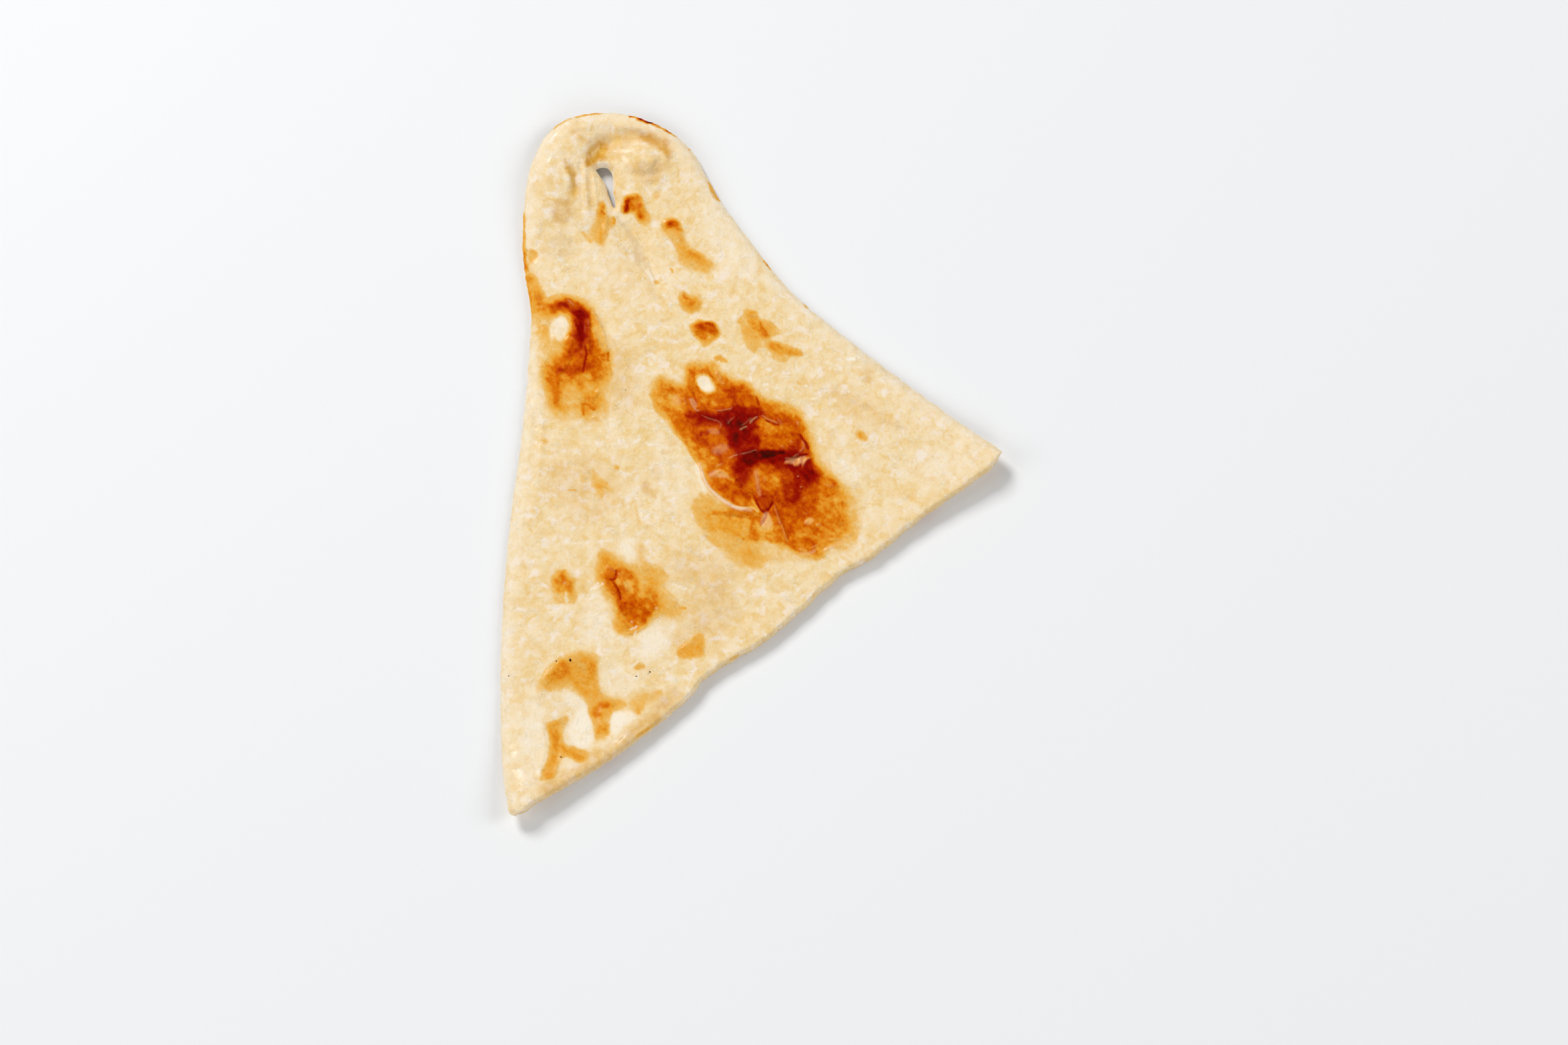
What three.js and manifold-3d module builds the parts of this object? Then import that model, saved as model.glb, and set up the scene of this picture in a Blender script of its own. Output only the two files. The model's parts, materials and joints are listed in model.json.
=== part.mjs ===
// Butter naan: the tip half of a stretched flatbread that was cut across, lying on a table.
// One baked sheet of dough. Millimetres, +Z up: X runs across the bread and +Y towards its narrow tip.
// The origin is on the table, under the middle of the bread's bounding box.
import * as THREE from "three";
import { ImprovedNoise } from "three/addons/math/ImprovedNoise.js";
import { mergeVertices } from "three/addons/utils/BufferGeometryUtils.js";
import Module from "manifold-3d";

const wasm = await Module();
wasm.setup();

// Driving dimensions.
const doughThickness = 3.4;
const bakedRim = { edge: 1.3, run: 6 }; // thickness at the very edge, and how far in it reaches the full dough
const cutRim = { edge: 2.9, run: 1.5 };
const unevenness = { rise: 0.45, wavelength: 17 };
const rowSpacing = 3.3;
const cellsAcross = 26; // cells in one row, from the long side to the wing side
const rimCells = [0.7, 2.2, 4.6]; // how far in the first few cells of a row end
const endRows = [0.25, 0.8, 1.7, 3, 4.8]; // the same at the tip and at the heel
const outlineSteps = 400;
const crumbColour = 0xf0d9ab;

// The edge that was baked: from the heel corner up the long side, round the tip and down to the wing corner.
const bakedEdge = [
  [-70.5, -111.6], [-73.2, -92], [-74.2, -57], [-72.8, -25], [-69.6, 8], [-67.9, 42], [-70.2, 58], [-71.2, 74],
  [-68.9, 94.4], [-60.6, 107.2], [-46.4, 110.6], [-31, 107.2], [-20, 98.6], [-12.6, 85], [0.6, 65.6], [13.6, 49.4],
  [39, 27.6], [74.3, -1.2],
];
// The knife's cut: from the wing corner back to the heel corner.
const cutEdge = [
  [74.3, -1.2], [71.6, -6], [50.4, -21.2], [33, -35.4], [25.6, -39], [6, -57.4], [-7.4, -66], [-13.6, -69.8],
  [-21, -78.6], [-41.6, -95.4], [-61.4, -108.1], [-67.4, -112], [-70.5, -111.6],
];
// The slot that the oven hook tore near the tip.
const hookHole = [
  [-49.8, 92.8], [-46.8, 93.8], [-44.2, 91.8], [-43.8, 86], [-43, 81.4], [-43.4, 79.6], [-45, 83], [-46.6, 88],
];

// Blisters and dishes: ellipses that rise above the sheet, or sink into it.
const blisters = [
  { name: "side lobe", at: [-62, 87], radii: [9.5, 18], turn: 4, rise: 3 },
  { name: "tip roll, left", at: [-56, 103], radii: [12, 8], turn: 35, rise: 1.6 },
  { name: "tip roll, right", at: [-30, 103.5], radii: [15, 6], turn: -25, rise: 1.3 },
  { name: "tip bubble", at: [-33, 94], radii: [10, 8.5], turn: -10, rise: 2.2 },
  { name: "scorched blister", at: [1, -4], radii: [20, 38], turn: 38, rise: 1.7 },
  { name: "long side blister", at: [-53, 31], radii: [10, 23], turn: 10, rise: 1.3 },
  { name: "small blister", at: [-36, -45], radii: [9, 14], turn: 32, rise: 1.1 },
  { name: "wing swell", at: [38, 6], radii: [24, 15], turn: -30, rise: 1 },
  { name: "heel dish", at: [-49, -84], radii: [17, 25], turn: -12, rise: -0.9 },
];
// Long folds: ridges that stand up from the sheet, or grooves pressed into it.
const folds = [
  { name: "arch groove, left", from: [-51, 92], to: [-46.5, 101], halfWidth: 4.5, rise: -1.5 },
  { name: "arch groove, top", from: [-46.5, 101], to: [-33, 102], halfWidth: 4, rise: -1.2 },
  { name: "arch groove, right", from: [-33, 102], to: [-27, 96], halfWidth: 4, rise: -1 },
  { name: "hook ridge", from: [-53.5, 97], to: [-51.5, 77], halfWidth: 4, rise: 1.2 },
  { name: "hook furrow", from: [-40.5, 75], to: [-31.5, 55], halfWidth: 4.5, rise: -1.9 },
  { name: "long side pleat", from: [-68, 20], to: [-70, -25], halfWidth: 4, rise: 0.7 },
];
// Where the bread lifts off the table: from a point, growing over a run in one direction.
const curls = [
  { name: "tip", from: [-40, 58], towards: [-0.12, 1], run: 56, lift: 4.5 },
  { name: "wing", from: [30, 4], towards: [1, -0.15], run: 46, lift: 4.5 },
  { name: "heel", from: [-58, -72], towards: [-0.25, -1], run: 42, lift: 3.5 },
  { name: "middle of the cut", from: [0, -30], towards: [0.6, -0.8], run: 34, lift: 2 },
];

function smoothCurve(points) {
  return new THREE.SplineCurve(points.map(([x, y]) => new THREE.Vector2(x, y)));
}

function distanceToPolyline(x, y, points) {
  let nearest = Infinity;
  for (let i = 1; i < points.length; i++) {
    nearest = Math.min(nearest, distanceToSegment(x, y, points[i - 1], points[i]));
  }
  return nearest;
}

function distanceToSegment(x, y, a, b) {
  const along = { x: b.x - a.x, y: b.y - a.y };
  const share = ((x - a.x) * along.x + (y - a.y) * along.y) / (along.x ** 2 + along.y ** 2 || 1);
  const t = THREE.MathUtils.clamp(share, 0, 1);
  return Math.hypot(x - a.x - t * along.x, y - a.y - t * along.y);
}

// A round-topped bump: 1 in the middle, 0 from a reach of 1 outwards, with no crease at either.
function bump(reach) {
  return reach < 1 ? (1 - reach ** 2) ** 2 : 0;
}

const bakedLine = smoothCurve(bakedEdge).getSpacedPoints(outlineSteps);
const cutLine = smoothCurve(cutEdge).getSpacedPoints(outlineSteps);
const noise = new ImprovedNoise();

function blisterRise(x, y) {
  let rise = 0;
  for (const blister of blisters) {
    const turn = THREE.MathUtils.degToRad(blister.turn);
    const dx = x - blister.at[0];
    const dy = y - blister.at[1];
    const across = (dx * Math.cos(turn) + dy * Math.sin(turn)) / blister.radii[0];
    const along = (dy * Math.cos(turn) - dx * Math.sin(turn)) / blister.radii[1];
    rise += blister.rise * bump(Math.hypot(across, along));
  }
  return rise;
}

function foldRise(x, y) {
  let rise = 0;
  for (const fold of folds) {
    const [a, b] = [fold.from, fold.to].map(([px, py]) => new THREE.Vector2(px, py));
    rise += fold.rise * bump(distanceToSegment(x, y, a, b) / fold.halfWidth);
  }
  return rise;
}

// Thickness at a distance from one edge: a quarter round from the edge up to the full dough.
function rimThickness(distance, rim, full) {
  const inwards = THREE.MathUtils.clamp(distance / rim.run, 0, 1);
  return rim.edge + (full - rim.edge) * Math.sqrt(1 - (1 - inwards) ** 2);
}

function thickness(x, y) {
  const waves = unevenness.rise * noise.noise(x / unevenness.wavelength, y / unevenness.wavelength, 0.5);
  const full = doughThickness + waves + blisterRise(x, y) + foldRise(x, y);
  const fromBaked = rimThickness(distanceToPolyline(x, y, bakedLine), bakedRim, full);
  const fromCut = rimThickness(distanceToPolyline(x, y, cutLine), cutRim, full);
  return Math.min(fromBaked, fromCut);
}

// The underside: flat on the table in the middle, and curling up towards the ends.
function underside(x, y) {
  let lift = 0;
  for (const curl of curls) {
    const towards = new THREE.Vector2(...curl.towards).normalize();
    const along = (x - curl.from[0]) * towards.x + (y - curl.from[1]) * towards.y;
    lift += curl.lift * THREE.MathUtils.clamp(along / curl.run, 0, 1) ** 2;
  }
  return lift;
}

// Where a row across the bread starts and ends, at one y.
function rowEnds(y) {
  const outline = [...bakedLine, ...cutLine.slice(1)];
  const crossings = [];
  for (let i = 1; i < outline.length; i++) {
    const [a, b] = [outline[i - 1], outline[i]];
    if ((a.y - y) * (b.y - y) <= 0 && a.y !== b.y) {
      crossings.push(a.x + ((y - a.y) / (b.y - a.y)) * (b.x - a.x));
    }
  }
  return [Math.min(...crossings), Math.max(...crossings)];
}

// Rows from the heel to the tip: close together at both ends, even between, and one exactly on the wing corner.
function rowLevels() {
  const ys = bakedLine.map((point) => point.y).concat(cutLine.map((point) => point.y));
  const heel = Math.min(...ys) + 0.02;
  const tip = Math.max(...ys) - 0.02;
  const wing = cutEdge[0][1];
  const [first, last] = [heel + endRows.at(-1), tip - endRows.at(-1)];
  const levels = [heel, ...endRows.map((inwards) => heel + inwards)];
  for (const [low, high] of [[first, wing], [wing, last]]) {
    const count = Math.round((high - low) / rowSpacing);
    for (let i = 1; i <= count; i++) levels.push(low + ((high - low) * i) / count);
  }
  return levels.concat(endRows.slice(0, -1).reverse().map((inwards) => tip - inwards), tip);
}

// Places along one row: narrow cells beside each edge, and even ones between.
function rowPlaces([left, right]) {
  const width = right - left;
  const rims = rimCells.map((inwards) => Math.min(inwards, (width * inwards) / (4 * rimCells.at(-1))));
  const inner = rims.at(-1);
  const even = cellsAcross - 2 * rimCells.length;
  const places = [left, ...rims.map((inwards) => left + inwards)];
  for (let i = 1; i < even; i++) places.push(left + inner + ((width - 2 * inner) * i) / even);
  return places.concat(rims.reverse().map((inwards) => right - inwards), right);
}

// The whole sheet: one grid for its top, one for its underside, and a wall round the edge.
function sheetGeometry() {
  const grid = rowLevels().map((y) => rowPlaces(rowEnds(y)).map((x) => [x, y]));
  const rows = grid.length;
  const columns = grid[0].length;
  const positions = [];
  for (const top of [true, false]) {
    for (const [x, y] of grid.flat()) {
      positions.push(x, y, underside(x, y) + (top ? thickness(x, y) : 0));
    }
  }
  const at = (row, column) => row * columns + column;
  const under = rows * columns;
  const index = [];
  for (let r = 1; r < rows; r++) {
    for (let c = 1; c < columns; c++) {
      const [a, b, d, e] = [at(r - 1, c - 1), at(r - 1, c), at(r, c), at(r, c - 1)];
      index.push(a, b, d, a, d, e);
      index.push(under + a, under + d, under + b, under + a, under + e, under + d);
    }
  }
  const loop = [];
  for (let c = 0; c < columns - 1; c++) loop.push(at(0, c));
  for (let r = 0; r < rows - 1; r++) loop.push(at(r, columns - 1));
  for (let c = columns - 1; c > 0; c--) loop.push(at(rows - 1, c));
  for (let r = rows - 1; r > 0; r--) loop.push(at(r, 0));
  loop.forEach((a, i) => {
    const b = loop[(i + 1) % loop.length];
    index.push(a, under + a, under + b, a, under + b, b);
  });
  const geometry = new THREE.BufferGeometry();
  geometry.setAttribute("position", new THREE.Float32BufferAttribute(positions, 3));
  return geometry.setIndex(index);
}

// The prism that the oven hook leaves open, taller than the bread.
function hookHoleGeometry() {
  const outline = smoothCurve([...hookHole, hookHole[0]]).getSpacedPoints(hookHole.length * 2);
  const height = 40;
  return new THREE.ExtrudeGeometry(new THREE.Shape(outline.slice(0, -1)), {
    depth: height,
    bevelEnabled: false,
  }).translate(0, 0, -height / 2);
}

function solid(geometry) {
  geometry.deleteAttribute("normal");
  geometry.deleteAttribute("uv");
  const merged = mergeVertices(geometry, 1e-3);
  const triVerts = new Uint32Array(merged.index.array);
  return new wasm.Manifold(
    new wasm.Mesh({ numProp: 3, vertProperties: merged.attributes.position.array, triVerts }),
  );
}

function geometryOf(manifold) {
  const mesh = manifold.getMesh();
  const geometry = new THREE.BufferGeometry();
  geometry.setAttribute("position", new THREE.BufferAttribute(mesh.vertProperties, 3));
  geometry.setIndex(new THREE.BufferAttribute(mesh.triVerts, 1));
  geometry.computeVertexNormals();
  return geometry;
}

// Moves the geometry so that the middle of its bounding box's underside is the origin.
function standOnOrigin(geometry) {
  geometry.computeBoundingBox();
  const { min, max } = geometry.boundingBox;
  return geometry.translate(-(min.x + max.x) / 2, -(min.y + max.y) / 2, -min.z);
}

const bread = new THREE.Mesh(
  standOnOrigin(geometryOf(solid(sheetGeometry()).subtract(solid(hookHoleGeometry())))),
  new THREE.MeshStandardMaterial({ color: crumbColour, roughness: 0.45, metalness: 0 }),
);
bread.name = "naan";

const part = new THREE.Group();
part.add(bread);

export default part;
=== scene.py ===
# Butter naan, tip half: the bread's skin, scorches and butter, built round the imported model.
# Marks are placed in millimetres on the bread: x from the long side to the wing, y from the heel to the tip.
import json
import math

import bpy
import numpy as np
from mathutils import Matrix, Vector
from mathutils.bvhtree import BVHTree
from mathutils.geometry import delaunay_2d_cdt
from mathutils.kdtree import KDTree

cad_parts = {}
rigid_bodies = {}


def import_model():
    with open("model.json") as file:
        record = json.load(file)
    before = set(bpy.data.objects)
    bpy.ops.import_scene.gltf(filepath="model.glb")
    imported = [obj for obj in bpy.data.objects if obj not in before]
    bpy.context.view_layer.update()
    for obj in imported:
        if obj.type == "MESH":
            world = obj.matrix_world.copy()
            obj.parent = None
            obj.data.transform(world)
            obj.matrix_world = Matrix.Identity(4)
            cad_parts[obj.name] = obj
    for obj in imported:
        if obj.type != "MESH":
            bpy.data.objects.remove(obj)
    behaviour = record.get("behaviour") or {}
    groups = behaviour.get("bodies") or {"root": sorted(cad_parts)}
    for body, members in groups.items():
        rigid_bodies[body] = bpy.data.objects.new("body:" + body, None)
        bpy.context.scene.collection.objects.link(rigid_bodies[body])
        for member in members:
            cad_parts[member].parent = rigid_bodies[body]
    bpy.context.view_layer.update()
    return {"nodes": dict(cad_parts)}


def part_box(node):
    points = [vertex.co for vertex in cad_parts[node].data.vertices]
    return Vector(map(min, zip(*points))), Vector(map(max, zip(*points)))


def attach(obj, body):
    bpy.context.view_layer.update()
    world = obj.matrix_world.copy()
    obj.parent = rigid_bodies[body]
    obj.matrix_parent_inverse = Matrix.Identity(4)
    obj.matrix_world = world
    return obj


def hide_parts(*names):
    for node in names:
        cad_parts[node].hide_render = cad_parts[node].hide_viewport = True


for thing in list(bpy.data.objects):
    bpy.data.objects.remove(thing)
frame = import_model()
breadLow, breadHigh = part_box("naan")
print("frame loaded, bread is", [round(1000 * v, 1) for v in breadHigh - breadLow], "mm")

mm = 0.001
marksBox = {  # the bread that the marks were drawn on, in millimetres
    "width": 148.5,
    "length": 222.7,
    "middle": (0.0, -0.65),
    "level": 4.0,  # the height that the marks lie at
    "eyeX": 9,  # where they were drawn from, and how much further on a taller place lies
    "eyeHeight": 900,
    "lean": 0.348,
    "leanGrowth": 0.0011,
}


def packedBread():
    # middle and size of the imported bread, in millimetres
    return 500 * (breadLow + breadHigh), 1000 * (breadHigh - breadLow)


def onBread(x, y):
    # from the marks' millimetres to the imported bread's own
    middle, size = packedBread()
    atX = middle.x + (x - marksBox["middle"][0]) * size.x / marksBox["width"]
    atY = middle.y + (y - marksBox["middle"][1]) * size.y / marksBox["length"]
    return atX, atY


def inScene(name, data):
    made = bpy.data.objects.new(name, data)
    bpy.context.scene.collection.objects.link(made)
    return made


# curves, noise
def curveThrough(points, closed=False, steps=6):
    # a smooth line through a few given points
    points = np.array(points, float)
    if len(points) < 3:
        return points
    if closed:
        padded = np.vstack([points[-1], points, points[0], points[1]])
    else:
        padded = np.vstack([2 * points[0] - points[1], points, 2 * points[-1] - points[-2]])
    line = []
    for a, b, c, d in zip(padded, padded[1:], padded[2:], padded[3:]):
        for t in np.arange(steps) / steps:
            line.append(0.5 * (2 * b + (c - a) * t + (2 * a - 5 * b + 4 * c - d) * t**2
                               + (3 * b - a - 3 * c + d) * t**3))
    if not closed:
        line.append(points[-1])
    return np.array(line)


def lumps(x, y, size, seed):
    # even, rounded lumps from about -1 to 1, "size" millimetres across
    turn = np.random.default_rng(seed).uniform(0, 2 * math.pi, (128, 128))
    u, v = np.asarray(x) / size + 31.7 * seed, np.asarray(y) / size + 17.3 * seed
    i, j = np.floor(u).astype(int), np.floor(v).astype(int)
    fu, fv = u - i, v - j
    su, sv = fu**3 * (fu * (6 * fu - 15) + 10), fv**3 * (fv * (6 * fv - 15) + 10)
    corner = {}
    for di in (0, 1):
        for dj in (0, 1):
            angle = turn[(i + di) % 128, (j + dj) % 128]
            corner[di, dj] = (fu - di) * np.cos(angle) + (fv - dj) * np.sin(angle)
    low = corner[0, 0] + su * (corner[1, 0] - corner[0, 0])
    high = corner[0, 1] + su * (corner[1, 1] - corner[0, 1])
    return 1.5 * (low + sv * (high - low))


def lumpsOf(x, y, parts):
    # lumps of several heights, sizes and seeds together
    return sum(height * lumps(x, y, size, seed) for height, size, seed in parts)


def smoothStep(t):
    t = np.clip(t, 0, 1)
    return t * t * (3 - 2 * t)


def alongLine(x, y, line):
    # distance to a line, how far along it the nearest place is, and on which side
    best = np.full(x.shape, 1e9)
    share = np.zeros(x.shape)
    side = np.ones(x.shape)
    for k, (a, b) in enumerate(zip(line, line[1:])):
        d = b - a
        t = np.clip(((x - a[0]) * d[0] + (y - a[1]) * d[1]) / max(d @ d, 1e-9), 0, 1)
        away = np.hypot(x - a[0] - t * d[0], y - a[1] - t * d[1])
        nearer = away < best
        best[nearer] = away[nearer]
        share[nearer] = ((k + t) / (len(line) - 1))[nearer]
        side[nearer] = np.sign(d[0] * (y - a[1]) - d[1] * (x - a[0]))[nearer]
    return best, share, side


def insideOf(x, y, ring):
    inside = np.zeros(x.shape, bool)
    for a, b in zip(ring, np.roll(ring, -1, axis=0)):
        if a[1] == b[1]:
            continue
        crosses = ((a[1] > y) != (b[1] > y)) & (x < (b[0] - a[0]) * (y - a[1]) / (b[1] - a[1]) + a[0])
        inside ^= crosses
    return inside


def closeTo(x, y, path, reach):
    low, high = path.min(axis=0) - reach, path.max(axis=0) + reach
    return (x > low[0]) & (x < high[0]) & (y > low[1]) & (y < high[1])


# marks that a hand would brush on
def filledMark(level, soft, ring, strength):
    return {"line": ring, "filled": True, "wide": (0, 0), "level": level, "soft": soft, "strength": strength,
            "tapers": False}


def area(level, soft, points, strength=1.0):
    return filledMark(level, 1.6 * soft, curveThrough(points, True), strength)


def line(level, wide, soft, points, strength=1.0):
    ends = wide if isinstance(wide, tuple) else (wide, wide)
    return {"line": curveThrough(points), "filled": False, "wide": ends, "level": level, "soft": soft,
            "strength": strength, "tapers": max(ends) < 0.6}


def spot(level, soft, middle, radii, turn=0, strength=1.0):
    turns = np.linspace(0, 2 * math.pi, 17)[:-1]
    tilt = math.radians(turn)
    across, along = radii[0] * np.cos(turns), radii[1] * np.sin(turns)
    ring = np.stack([middle[0] + across * math.cos(tilt) - along * math.sin(tilt),
                     middle[1] + across * math.sin(tilt) + along * math.cos(tilt)], axis=1)
    return filledMark(level, soft, ring, strength)


def brush(field, marks, x, y):
    # each mark pulls the field towards its own level, later ones over earlier ones
    for mark in marks:
        outline = mark["line"]
        near = closeTo(x, y, outline, max(mark["wide"]) + mark["soft"])
        nx, ny = x[near], y[near]
        ring = np.vstack([outline, outline[:1]]) if mark["filled"] else outline
        away, share, _ = alongLine(nx, ny, ring)
        if mark["filled"]:
            outside = np.where(insideOf(nx, ny, outline), -away, away)
        else:
            taper = np.clip(6 * np.minimum(share, 1 - share), 0, 1) ** 0.5 if mark["tapers"] else 1
            outside = away - taper * (mark["wide"][0] + (mark["wide"][1] - mark["wide"][0]) * share)
            outside += 0.5 * mark["soft"] * (1 - taper)
        cover = mark["strength"] * smoothStep(0.5 - outside / mark["soft"])
        field[near] += (mark["level"] - field[near]) * cover
    return field
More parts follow.
